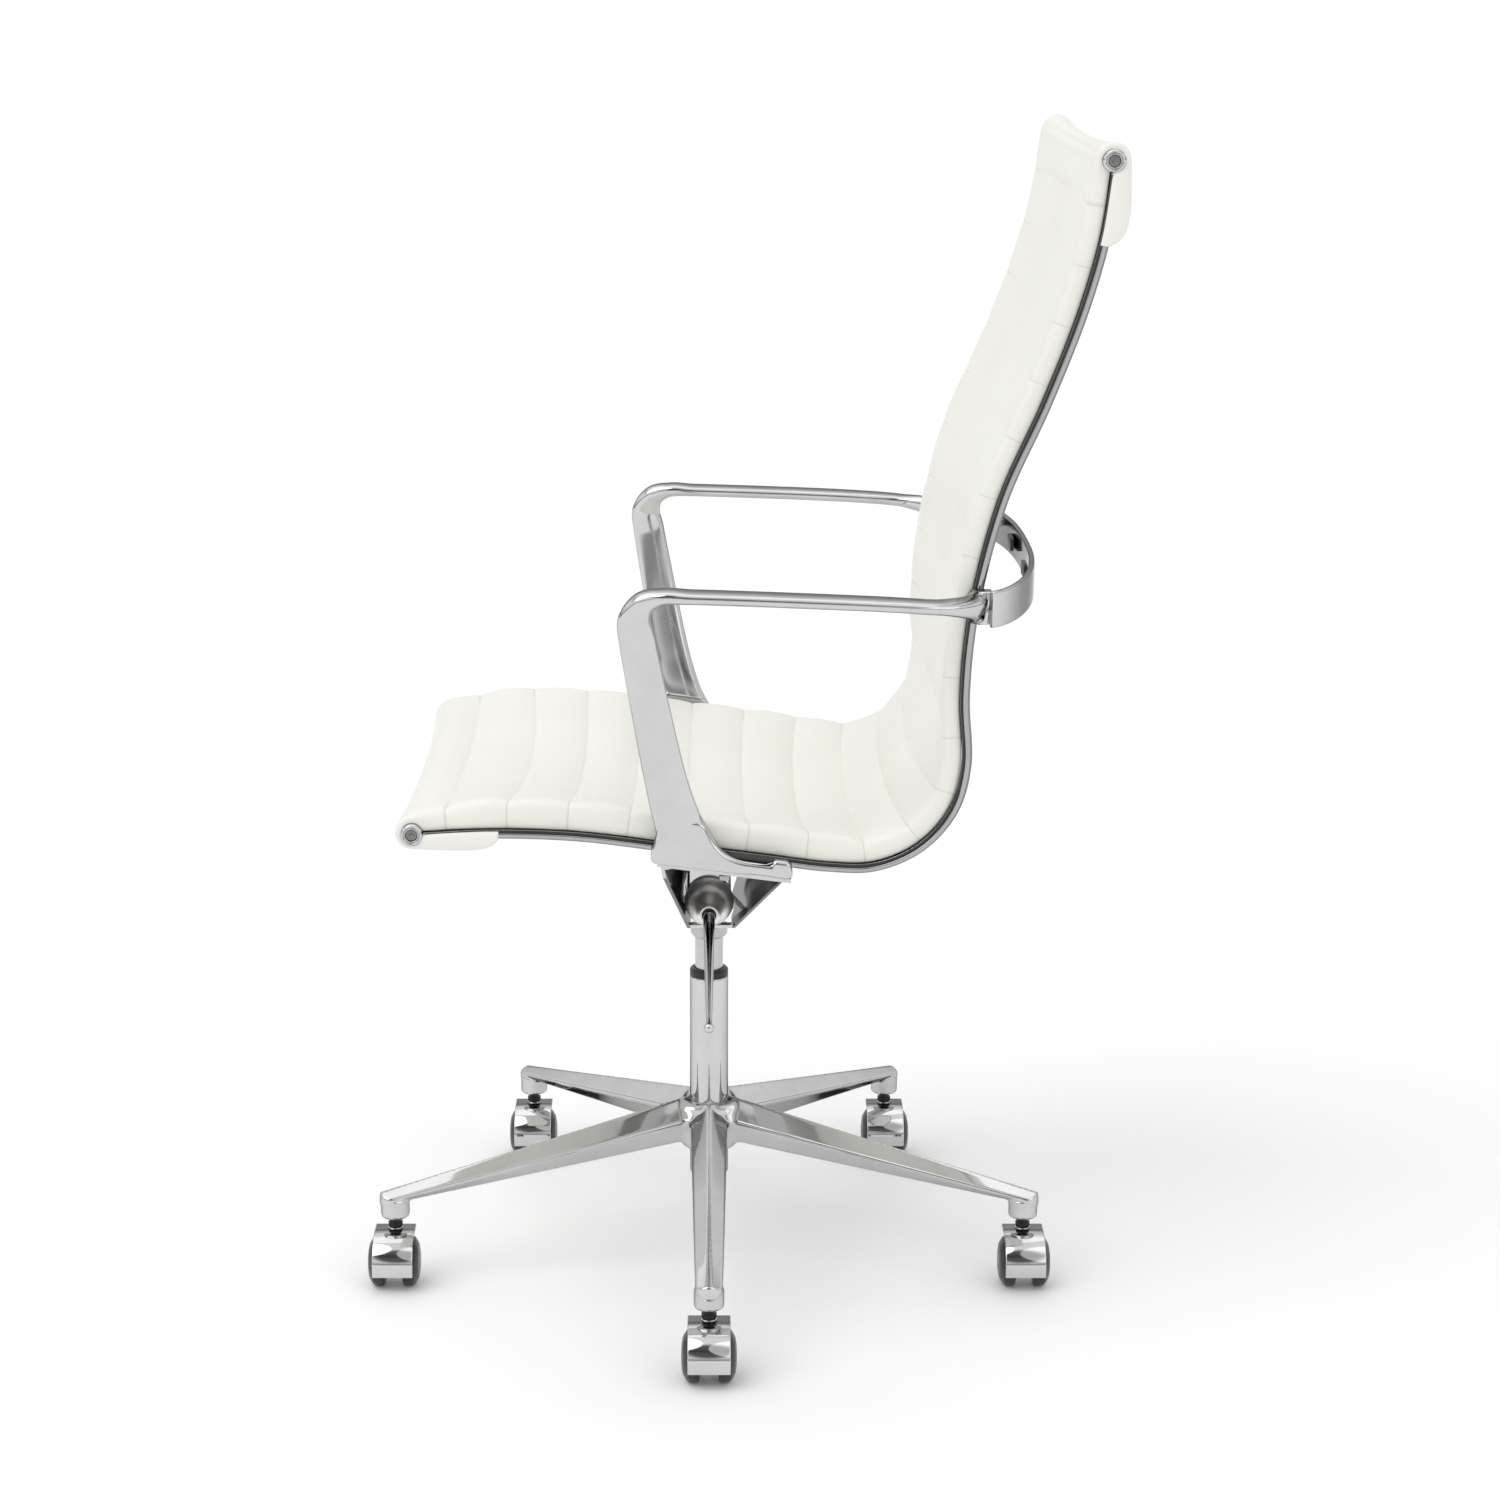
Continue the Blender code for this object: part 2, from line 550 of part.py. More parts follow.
def make_rails(mats, seat, stations):
    """Two side rails with a step for the leather's edge, bored for the armrests' rear bolts."""
    start = next(i for i, s in enumerate(stations) if s[3] > CROSS_TUBE_R + 0.002)
    end = len(stations) - start
    bolt = rear_bolt_spot(stations)
    for side, sign in SIDES:
        section = [(RAIL_IN, -RAIL_D + 0.0005), (RAIL_OUT, -RAIL_D + 0.0005), (RAIL_OUT, -RAIL_STEP_D),
                   (RAIL_OUT - RAIL_STEP_W, -RAIL_STEP_D), (RAIL_OUT - RAIL_STEP_W, 0.0005), (RAIL_IN, 0.0005)]
        rings = []
        for point, tangent, normal, _ in trimmed(stations, start, end):
            rings.append([(sign * x, *(point + normal * n)) for x, n in section])
        rail = solid(f"side_rail_{side}", skin(rings), mats["chrome"], seat)
        hole = turned(disc_profile(ARM_BOLT_R + GAP, RAIL_IN - 0.01, RAIL_OUT + 0.01), "X", (0, *bolt), SMALL_ROUND)
        if sign < 0:
            hole.transform(Matrix.Scale(-1, 4, (1, 0, 0)))
        boolean(rail, "DIFFERENCE", solid("rail_cutter", hole, mats["chrome"], seat, cutter=True))


def trimmed(stations, start, end):
    """The stations between the cross tubes, with the first and last moved up to the end caps."""
    kept = stations[start:end]
    off = max(CAP_R, CROSS_TUBE_R) + GAP
    first_point = stations[0][0] + stations[0][1] * (off + 0.0002)
    last_point = stations[-1][0] - stations[-1][1] * (off + 0.0002)
    first = (first_point, stations[0][1], stations[0][2], off)
    last = (last_point, stations[-1][1], stations[-1][2], stations[-1][3] - off)
    return [first, *kept, last]


def rear_bolt_spot(stations):
    """Where the armrest's rear bolt crosses the rail, as (Y, Z)."""
    point = rail_at(stations, z=SEAT_Z + ARM_UP - 0.0175)
    return point.x + RAIL_D / 2, point.y


def make_cross_tubes(mats, seat, stations):
    for end, station in (("front", stations[0]), ("top", stations[-1])):
        centre = (0, *station[0])
        bore = CROSS_TUBE_R - CROSS_TUBE_WALL
        tube = ring_profile(bore, CROSS_TUBE_R, -SLING_HALF, SLING_HALF)
        solid(f"{end}_tube", turned(tube, "X", centre, MID_ROUND), mats["chrome"], seat)
        inner = SLING_HALF + GAP
        outer = inner + CAP_D
        spigot = bore - GAP
        cap = [(0, SLING_HALF - 0.014), (spigot, SLING_HALF - 0.014), (spigot, inner), (CAP_R, inner),
               (CAP_R, outer - 0.0014), (CAP_R - 0.0014, outer), (CAP_R - 0.0030, outer - 0.0024), (0, outer - 0.0024)]
        for side, sign in SIDES:
            profile = [(r, sign * x) for r, x in cap]
            solid(f"end_cap_{end}_{side}", turned(profile, "X", centre, SMALL_ROUND), mats["chrome"], seat)


def make_sling(mats, seat, stations):
    """One leather sling, as a plain pad on the rails that wraps both cross tubes and ends in a short flap."""
    length = stations[-1][3]

    def offset(point, normal, n):
        return point + normal * n

    def pad_height(run):
        near_end = min(run, length - run) / 0.05
        return ROLL_R + (PAD - ROLL_R) * min(1.0, near_end)

    def wrap(station, outwards, radius, first, last, steps):
        """Points round a cross tube. An angle of 0 is outwards along the curve, 90 towards the sitter."""
        point, tangent, normal, _ = station
        turns = [math.radians(first + (last - first) * i / steps) for i in range(steps + 1)]
        return [point + tangent * (outwards * radius * math.cos(t)) + normal * (radius * math.sin(t)) for t in turns]

    inner_deg = 180 - math.degrees(math.asin(PAD_UNDER / ROLL_SKIN_IN))
    body = stations[1:-1]
    outline = [offset(p, n, pad_height(run)) for p, _, n, run in body]
    outline += wrap(stations[-1], 1, ROLL_R, 90, -90, 8)
    top_flap = [s for s in body[::-1] if length - s[3] < TOP_FLAP]
    outline += [offset(p, n, -FLAP) for p, _, n, _ in top_flap]
    outline += [offset(p, n, -FLAP_IN) for p, _, n, _ in top_flap[::-1]]
    outline += wrap(stations[-1], 1, ROLL_SKIN_IN, -78, inner_deg, 12)
    outline += [offset(p, n, PAD_UNDER) for p, _, n, _ in body[::-1]]
    outline += wrap(stations[0], -1, ROLL_SKIN_IN, inner_deg, -78, 12)
    front_flap = [s for s in body if s[3] < FRONT_FLAP]
    outline += [offset(p, n, -FLAP_IN) for p, _, n, _ in front_flap]
    outline += [offset(p, n, -FLAP) for p, _, n, _ in front_flap[::-1]]
    outline += wrap(stations[0], -1, ROLL_R, -90, 90, 8)
    solid("sling_upholstery", prism([tuple(p) for p in outline], "X", -SLING_HALF, SLING_HALF), mats["leather"], seat)


def support_line(stations, y, under=0.0):
    """Height of the support's top plate at this Y: it runs parallel to the rails, below them."""
    front = rail_at(stations, y=SUPPORT_FRONT_Y).y
    back = rail_at(stations, y=SUPPORT_BACK_Y).y
    share = (y - SUPPORT_FRONT_Y) / (SUPPORT_BACK_Y - SUPPORT_FRONT_Y)
    return front + (back - front) * share - RAIL_D - SUPPORT_UNDER_RAIL - under


def flange_outline(stations, low, high):
    front, back = SUPPORT_FRONT_Y, SUPPORT_BACK_Y
    return [(front, support_line(stations, front, -low)), (back, support_line(stations, back, -low)),
            (back, support_line(stations, back, -high)), (front, support_line(stations, front, -high))]


def make_support(mats, seat, stations):
    """A trough that hangs under the rails: two sloping walls and a top plate, on two lugs round the tilt shaft."""
    foot = PIVOT_Z - SUPPORT_DROP
    front, back = SUPPORT_FRONT_Y, SUPPORT_BACK_Y
    top_front, top_back = support_line(stations, front), support_line(stations, back)
    outer = [(front, top_front), (SUPPORT_FOOT_FRONT_Y, foot), (SUPPORT_FOOT_BACK_Y, foot), (back, top_back)]
    trough = solid("seat_support", prism(outer, "X", -RAIL_IN, RAIL_IN), mats["chrome"], seat)

    wall = SUPPORT_WALL * 1.1
    below = 0.02
    slope_f = (front - SUPPORT_FOOT_FRONT_Y) / (top_front - foot)
    slope_b = (back - SUPPORT_FOOT_BACK_Y) / (top_back - foot)
    plate_f, plate_b = top_front - SUPPORT_PLATE, top_back - SUPPORT_PLATE
    inner = [(front + wall - slope_f * SUPPORT_PLATE, plate_f), (SUPPORT_FOOT_FRONT_Y + wall - slope_f * below, foot - below),
             (SUPPORT_FOOT_BACK_Y - wall - slope_b * below, foot - below), (back - wall - slope_b * SUPPORT_PLATE, plate_b)]
    cut = solid("trough_cutter", prism(inner, "X", -RAIL_IN - 0.01, RAIL_IN + 0.01), mats["chrome"], seat, cutter=True)
    boolean(trough, "DIFFERENCE", cut)

    wing_low = min(plate_f, plate_b) - 0.004
    for side, sign in SIDES:
        rise = (wing_low - foot) / (RAIL_IN - SUPPORT_WING_FROM)
        over = 0.02
        wedge = [(sign * (SUPPORT_WING_FROM - over), foot - over * rise), (sign * (RAIL_IN + over), wing_low + over * rise),
                 (sign * (RAIL_IN + over), foot - 0.05), (sign * (SUPPORT_WING_FROM - over), foot - 0.05)]
        cutter = solid("wing_cutter", prism(wedge, "Y", front - 0.02, back + 0.02), mats["chrome"], seat, cutter=True)
        boolean(trough, "DIFFERENCE", cutter)

    into_plate = SUPPORT_PLATE - 0.001
    for side, sign in SIDES:
        low, high = sorted((sign * LUG_IN, sign * LUG_OUT))
        outline = [(LUG_R, support_line(stations, LUG_R, into_plate)), *arc((0, PIVOT_Z), LUG_R, 0, -180, 12),
                   (-LUG_R, support_line(stations, -LUG_R, into_plate))]
        lug = solid("lug_guide", prism(outline, "X", low, high), mats["chrome"], seat, cutter=True)
        boolean(trough, "UNION", lug)
        strap = block((min(sign * 0.046, sign * LUG_IN), SUPPORT_FOOT_FRONT_Y + 0.001, foot),
                      (max(sign * 0.046, sign * LUG_IN), SUPPORT_FOOT_BACK_Y - 0.001, foot + 0.003))
        boolean(trough, "UNION", solid("strap_guide", strap, mats["chrome"], seat, cutter=True))
        inside, outside = sorted((sign * (RAIL_IN - 0.008), sign * (RAIL_OUT + FLANGE_OUT - 0.001)))
        flange = prism(flange_outline(stations, -SUPPORT_PLATE, 0.0), "X", inside, outside)
        boolean(trough, "UNION", solid("flange_guide", flange, mats["chrome"], seat, cutter=True))
        inside, outside = sorted((sign * (RAIL_IN + 0.001), sign * (RAIL_OUT - 0.001)))
        rise = flange_outline(stations, -0.001, SUPPORT_UNDER_RAIL - 0.0012)
        pad = prism(rise, "X", inside, outside)
        boolean(trough, "UNION", solid("rail_pad_guide", pad, mats["chrome"], seat, cutter=True))

    bores = turned(disc_profile(SHAFT_R + RUN, -LUG_OUT - 0.02, LUG_OUT + 0.02), "X", (0, 0, PIVOT_Z), BIG_ROUND)
    boolean(trough, "DIFFERENCE", solid("shaft_cutter", bores, mats["chrome"], seat, cutter=True))
    notch = turned(disc_profile(NECK_R + 0.010, foot - 0.02, foot + 0.026), segments=BIG_ROUND)
    boolean(trough, "DIFFERENCE", solid("neck_cutter", notch, mats["chrome"], seat, cutter=True))
    holes = bmesh.new()
    for x, y in arm_bolt_spots():
        z = support_line(stations, y)
        add_geometry(holes, turned(disc_profile(ARM_BOLT_R + GAP, z - 0.02, z + 0.02), centre=(x, y, 0), segments=SMALL_ROUND))
    boolean(trough, "DIFFERENCE", solid("arm_bolt_cutter", holes, mats["chrome"], seat, cutter=True))


def arm_bolt_spots():
    x = RAIL_OUT + FLANGE_OUT / 2
    return [(sign * x, ARM_BOLT_Y) for _, sign in SIDES]


def arm_route(stations):
    """The left armrest's stations: centre, half width along X, half width across, from the foot to the rear clamp."""
    x = RAIL_OUT
    z = SEAT_Z
    bolt_y, bolt_z = rear_bolt_spot(stations)
    foot_z = support_line(stations, -0.02) + 0.015
    bar = z + ARM_UP
    return [
        ((x + 0.0078, -0.0150, foot_z), 0.0066, 0.0290), ((x + 0.0105, -0.0290, z + 0.0460), 0.0056, 0.0215),
        ((x + 0.0185, -0.0385, z + 0.0846), BLADE_HALF_T, 0.0190), ((x + 0.0335, -0.0520, z + 0.1546), BLADE_HALF_T, 0.0172),
        ((x + 0.0435, -0.0630, bar - 0.0420), 0.0058, 0.0160), ((x + ARM_OUT, -0.0655, bar - 0.0225), 0.0085, 0.0148),
        ((x + ARM_OUT, -0.0580, bar - 0.0075), 0.0130, 0.0110), ((x + ARM_OUT, -0.0420, bar - 0.0010), 0.0160, 0.0068),
        ((x + ARM_OUT, -0.0150, bar - 0.0012), BAR_HALF_W, BAR_HALF_H),
        ((x + ARM_OUT, 0.1500, bar - 0.0075), BAR_HALF_W, BAR_HALF_H),
        ((x + ARM_OUT - 0.0040, bolt_y - 0.0360, bolt_z + 0.0062), 0.0150, 0.0058),
        ((x + ARM_OUT - 0.0190, bolt_y - 0.0090, bolt_z + 0.0030), 0.0110, 0.0095),
        ((x + 0.0100, bolt_y - 0.0010, bolt_z), 0.0085, 0.0150),
        ((x + GAP, bolt_y + 0.0005, bolt_z), 0.0095, 0.0155),
    ]


def superellipse(half_w, half_h, count=10, power=3.0):
    points = []
    for i in range(count):
        turn = 2 * math.pi * (i + 0.5) / count
        c, s = math.cos(turn), math.sin(turn)
        points.append((half_w * math.copysign(abs(c) ** (2 / power), c), half_h * math.copysign(abs(s) ** (2 / power), s)))
    return points


def make_arms(mats, seat, stations):
    route = arm_route(stations)
    centres = spline([r[0] for r in route], 2)
    widths = in_step([Vector(r[1:]) for r in route], 2)
    bolt = rear_bolt_spot(stations)
    for side, sign in SIDES:
        rings = []
        across = Vector((1, 0, 0))
        for i, centre in enumerate(centres):
            ahead = (centres[min(i + 1, len(centres) - 1)] - centres[max(i - 1, 0)]).normalized()
            if i == len(centres) - 1:
                ahead = Vector((-1, 0, 0))
            lateral = across - ahead * across.dot(ahead)
            if lateral.length < 0.35:
                lateral = Vector((0, 1, 0)) - ahead * ahead.y
            u = lateral.normalized()
            v = ahead.cross(u)
            ring = [centre + u * a + v * b for a, b in superellipse(widths[i].x, widths[i].y)]
            rings.append([(sign * p.x, p.y, p.z) for p in ring])
        arm = solid(f"armrest_{side}", skin(rings), mats["chrome"], seat)
        low, high = sorted((sign * (RAIL_OUT + GAP), sign * (RAIL_OUT + FLANGE_OUT)))
        front, back = SUPPORT_FRONT_Y, SUPPORT_BACK_Y
        foot = [(front + 0.002, support_line(stations, front) + GAP), (back, support_line(stations, back) + GAP),
                (back, support_line(stations, back) + 0.0085), (back - 0.005, support_line(stations, back) + 0.0130),
                (0.012, support_line(stations, 0.012) + 0.0135), (front + 0.002, support_line(stations, front) + 0.0135)]
        boolean(arm, "UNION", solid("arm_foot_guide", prism(foot, "X", low, high), mats["chrome"], seat, cutter=True))
        trim = block((min(0, sign * (RAIL_OUT + GAP)), -0.2, SEAT_Z - 0.1), (max(0, sign * (RAIL_OUT + GAP)), 0.4, SEAT_Z + 0.4))
        boolean(arm, "DIFFERENCE", solid("arm_side_cutter", trim, mats["chrome"], seat, cutter=True))
        under = [(front - 0.03, support_line(stations, front - 0.03) + GAP), (back + 0.03, support_line(stations, back + 0.03) + GAP),
                 (back + 0.03, SEAT_Z - 0.1), (front - 0.03, SEAT_Z - 0.1)]
        low, high = sorted((0.0, sign * (RAIL_OUT + 0.1)))
        boolean(arm, "DIFFERENCE", solid("arm_under_cutter", prism(under, "X", low, high), mats["chrome"], seat, cutter=True))
        holes = turned(disc_profile(ARM_BOLT_R + GAP, sign * (RAIL_OUT - 0.01), sign * (RAIL_OUT + 0.0115)), "X", (0, *bolt), SMALL_ROUND)
        for x, y in arm_bolt_spots():
            if x * sign > 0:
                z = support_line(stations, y)
                add_geometry(holes, turned(disc_profile(ARM_BOLT_R + GAP, z - 0.02, z + 0.0095), centre=(x, y, 0), segments=SMALL_ROUND))
        boolean(arm, "DIFFERENCE", solid("arm_hole_cutter", holes, mats["chrome"], seat, cutter=True))


def make_bolts(mats, seat, stations):
    for (x, y), (name, _) in zip(arm_bolt_spots(), SIDES):
        z = support_line(stations, y)
        under = z - SUPPORT_PLATE - 0.0016
        profile = [(0, under - ARM_BOLT_HEAD_H), (ARM_BOLT_HEAD_R, under - ARM_BOLT_HEAD_H), (ARM_BOLT_HEAD_R, under),
                   (ARM_BOLT_R, under), (ARM_BOLT_R, z + 0.0085), (0, z + 0.0085)]
        solid(f"arm_bolt_{name}", turned(profile, centre=(x, y, 0), segments=SMALL_ROUND), mats["steel"], seat)
    bolt = rear_bolt_spot(stations)
    for side, sign in SIDES:
        head = RAIL_IN - GAP
        profile = [(0, head - ARM_BOLT_HEAD_H), (ARM_BOLT_HEAD_R - 0.001, head - ARM_BOLT_HEAD_H), (ARM_BOLT_HEAD_R - 0.001, head),
                   (ARM_BOLT_R, head), (ARM_BOLT_R, RAIL_OUT + 0.0105), (0, RAIL_OUT + 0.0105)]
        profile = [(r, sign * x) for r, x in profile]
        solid(f"rear_bolt_{side}", turned(profile, "X", (0, *bolt), SMALL_ROUND), mats["steel"], seat)


def brace_curve(x, stations):
    """Y of the brace's inner face at this X: a shallow bow behind the back."""
    end = RAIL_OUT + 0.0165
    share = min(1.0, abs(x) / end)
    return rear_bolt_spot(stations)[0] + 0.0105 + BRACE_BOW * (1 - share ** 2.6) ** 0.72


def make_brace(mats, seat, stations):
    """A flat band bowed behind the back from one armrest's clamp to the other's."""
    end = RAIL_OUT + 0.0165
    mid_z = rear_bolt_spot(stations)[1]
    count = 26
    inner = []
    for i in range(count + 1):
        x = -end * math.cos(math.pi * i / count)
        inner.append(Vector((x, brace_curve(x, stations))))
    rings = []
    for i, point in enumerate(inner):
        ahead = (inner[min(i + 1, count)] - inner[max(i - 1, 0)]).normalized()
        out = Vector((-ahead.y, ahead.x))
        half = BRACE_H / 2
        ring = []
        for across, up in ((0, -half + 0.001), (0, half - 0.001), (0.001, half), (BRACE_T - 0.0015, half),
                           (BRACE_T, half - 0.003), (BRACE_T, -half + 0.003), (BRACE_T - 0.0015, -half), (0.001, -half)):
            spot = point + out * across
            ring.append((spot.x, spot.y, mid_z + up))
        rings.append(ring)
    solid("back_brace", skin(rings), mats["chrome"], seat)
    for side, sign in SIDES:
        x = sign * BRACE_PAD_X
        width, depth, height = BRACE_PAD
        near = min(brace_curve(x - width / 2, stations), brace_curve(x + width / 2, stations)) - 0.0005
        pad = block((x - width / 2, near - depth, mid_z - height / 2), (x + width / 2, near, mid_z + height / 2))
        solid(f"brace_pad_{side}", pad, mats["plastic"], seat)


def hood_mesh(mats, root):
    """A hood in its own frame: the stem's axis is X = Y = 0, the floor is Z = 0, and the wheels trail towards +X."""
    centre = (CASTER_TRAIL, WHEEL_R)
    inner = HOOD_R - HOOD_WALL
    top = WHEEL_R + HOOD_R
    shell = [*arc(centre, HOOD_R, HOOD_FRONT_DEG, 90, 8), (-HOOD_SHELF, top), (-HOOD_SHELF, top - HOOD_WALL),
             *arc(centre, inner, 90, HOOD_FRONT_DEG, 8)]
    half = HOOD_W / 2
    hood = solid("hood_guide", prism(shell, "Y", -half, half), mats["chrome"], root, (0, 0, 0), cutter=True)
    web = [*arc(centre, inner + 0.001, 17, 87, 5), (-HOOD_SHELF + 0.0015, top - 0.0014), (-HOOD_SHELF + 0.0015, 0.034),
           (CASTER_TRAIL - 0.007, WHEEL_R - 0.0085), (CASTER_TRAIL, WHEEL_R - 0.0095), (CASTER_TRAIL + 0.008, WHEEL_R - 0.006)]
    boss = disc_profile(STEM_BOSS_R, STEM_FOOT - 0.0055, top + BOSS_PROUD)
    pieces = {"web_guide": prism(web, "Y", -HOOD_WEB_W / 2, HOOD_WEB_W / 2),
              "boss_guide": turned(boss, segments=SMALL_ROUND, phase=0.37)}
    helpers = [solid(name, bm, mats["chrome"], root, (0, 0, 0), cutter=True) for name, bm in pieces.items()]
    for helper in helpers:
        boolean(hood, "UNION", helper)
    holes = turned(disc_profile(STEM_R + GAP, STEM_FOOT - GAP, top + 0.01), segments=SMALL_ROUND)
    add_geometry(holes, turned(disc_profile(AXLE_R + GAP, -0.02, 0.02), "Y", (CASTER_TRAIL, 0, WHEEL_R), SMALL_ROUND))
    holes = solid("hood_cutter", holes, mats["chrome"], root, (0, 0, 0), cutter=True)
    boolean(hood, "DIFFERENCE", holes)
    bpy.context.view_layer.update()
    mesh = bpy.data.meshes.new_from_object(hood.evaluated_get(bpy.context.evaluated_depsgraph_get()))
    for helper in (hood, holes, *helpers):
        bpy.data.objects.remove(helper, do_unlink=True)
    mesh.name = "caster_hood"
    return mesh


def wheel_profile(sign):
    """A wheel about its own centre: an open bore inside, a domed face outside."""
    half = WHEEL_W / 2
    bore = AXLE_R + RUN
    outer = [(0, half - 0.0023), (bore, half - 0.0023), (bore, -half), (0.010, -half), (WHEEL_R - 0.0015, -half),
             (WHEEL_R, -half + 0.002), (WHEEL_R, half - 0.0065), (WHEEL_R - 0.002, half - 0.0030), (0.015, half - 0.0006),
             (0, half)]
    return [(r, sign * y) for r, y in outer]


def make_casters(mats, root):
    shared = {"hood": hood_mesh(mats, root)}
    collar = CASTER_TOP
    stem = [(0, STEM_FOOT), (STEM_R, STEM_FOOT), (STEM_R, collar), (STEM_COLLAR_R, collar),
            (STEM_COLLAR_R, collar + STEM_COLLAR_H), (STEM_R, collar + STEM_COLLAR_H),
            (STEM_R, TIP_Z + TIP_H - 0.008), (0, TIP_Z + TIP_H - 0.008)]
    spots, _ = stem_points()
    axle_half = WHEEL_SPACE / 2 + WHEEL_W - 0.0028
    apart = (WHEEL_SPACE + WHEEL_W) / 2
    for number, (x, y) in enumerate(spots, 1):
        swivel = empty(f"caster_{number}_swivel", (x, y, 0), root)
        solid(f"caster_{number}_stem", turned(stem, centre=(x, y, 0), segments=SMALL_ROUND), mats["steel"], swivel)
        mesh_object(f"caster_{number}_hood", shared["hood"], swivel, (x, y, 0))
        centre = (x + CASTER_TRAIL, y, WHEEL_R)
        axle = turned(disc_profile(AXLE_R, -axle_half, axle_half), "Y", centre, SMALL_ROUND)
        solid(f"caster_{number}_axle", axle, mats["steel"], swivel)
        for name, sign in (("left", 1), ("right", -1)):
            hub = (centre[0], centre[1] + sign * apart, centre[2])
            wheel = turned(wheel_profile(sign), "Y", hub, 18)
            solid(f"caster_{number}_wheel_{name}", wheel, mats["rubber"], swivel, hub)


def centre_on_floor(root):
    """Puts the middle of the whole chair's box over the origin and its lowest point on Z = 0."""
    bpy.context.view_layer.update()
    graph = bpy.context.evaluated_depsgraph_get()
    low = Vector((1e9, 1e9, 1e9))
    high = -low
    for obj in bpy.data.objects:
        if obj.type != "MESH" or obj.hide_render:
            continue
        evaluated = obj.evaluated_get(graph)
        mesh = evaluated.to_mesh()
        for vertex in mesh.vertices:
            point = evaluated.matrix_world @ vertex.co
            low = Vector(map(min, low, point))
            high = Vector(map(max, high, point))
        evaluated.to_mesh_clear()
    root.location = (-(low.x + high.x) / 2, -(low.y + high.y) / 2, -low.z)


def main():
    clear_scene()
    mats = {
        "chrome": material("chrome", (0.80, 0.81, 0.82), 0.06, 1.0),
        "satin": material("satin_steel", (0.62, 0.61, 0.59), 0.32, 1.0),
        "steel": material("dark_steel", (0.36, 0.36, 0.37), 0.35, 1.0),
        "grey": material("grey_ring", (0.55, 0.55, 0.55), 0.45, 0.6),
        "plastic": material("black_plastic", (0.02, 0.02, 0.021), 0.45, 0.0),
        "rubber": material("black_tread", (0.025, 0.025, 0.027), 0.6, 0.0),
        "leather": material("white_leather", (0.87, 0.86, 0.81), 0.5, 0.0),
    }
    root = empty("chair", (0, 0, 0))
    rod_axis = empty("column_swivel", (0, 0, TUBE_Z), root)
    upper = empty("height_slide", (0, 0, COLLAR_TOP), rod_axis)
    valve_axis = empty("valve_slide", (0, 0, TAPER_TOP), upper)
    lever_axis = empty("lever_hinge", (LEVER_PIVOT_X, 0, PIVOT_Z), upper)
    seat = empty("tilt_hinge", (0, 0, PIVOT_Z), upper)
    stations = rail_stations()
    make_base(mats, root)
    make_column(mats, root, rod_axis, upper)
    make_housing(mats, upper)
    make_lever(mats, lever_axis, valve_axis)
    make_rails(mats, seat, stations)
    make_cross_tubes(mats, seat, stations)
    make_sling(mats, seat, stations)
    make_support(mats, seat, stations)
    make_arms(mats, seat, stations)
    make_bolts(mats, seat, stations)
    make_brace(mats, seat, stations)
    make_casters(mats, root)
    centre_on_floor(root)


main()
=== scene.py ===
"""The looks of a swivel office chair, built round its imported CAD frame."""

import json
import math

import bmesh
import bpy
import numpy as np
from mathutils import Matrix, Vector

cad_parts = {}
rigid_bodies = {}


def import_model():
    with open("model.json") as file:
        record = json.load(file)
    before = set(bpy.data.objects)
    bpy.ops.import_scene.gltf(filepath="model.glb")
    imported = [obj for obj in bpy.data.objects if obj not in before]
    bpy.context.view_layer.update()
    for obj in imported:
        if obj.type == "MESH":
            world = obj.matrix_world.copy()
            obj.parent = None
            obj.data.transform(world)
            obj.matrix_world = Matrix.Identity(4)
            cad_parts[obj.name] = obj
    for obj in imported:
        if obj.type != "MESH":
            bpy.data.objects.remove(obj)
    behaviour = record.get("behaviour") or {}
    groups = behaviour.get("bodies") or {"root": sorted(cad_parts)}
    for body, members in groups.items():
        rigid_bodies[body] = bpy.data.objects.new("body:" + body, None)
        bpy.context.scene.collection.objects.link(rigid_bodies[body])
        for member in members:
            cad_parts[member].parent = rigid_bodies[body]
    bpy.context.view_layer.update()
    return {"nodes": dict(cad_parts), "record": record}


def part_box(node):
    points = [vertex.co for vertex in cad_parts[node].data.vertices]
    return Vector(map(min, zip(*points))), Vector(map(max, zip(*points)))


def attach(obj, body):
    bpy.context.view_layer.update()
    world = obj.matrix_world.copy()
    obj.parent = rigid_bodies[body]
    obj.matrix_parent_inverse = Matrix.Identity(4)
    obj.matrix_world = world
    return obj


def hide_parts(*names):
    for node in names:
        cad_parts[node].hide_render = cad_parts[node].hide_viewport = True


for leftover in list(bpy.data.objects):
    bpy.data.objects.remove(leftover, do_unlink=True)

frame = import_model()
NODES = frame["nodes"]

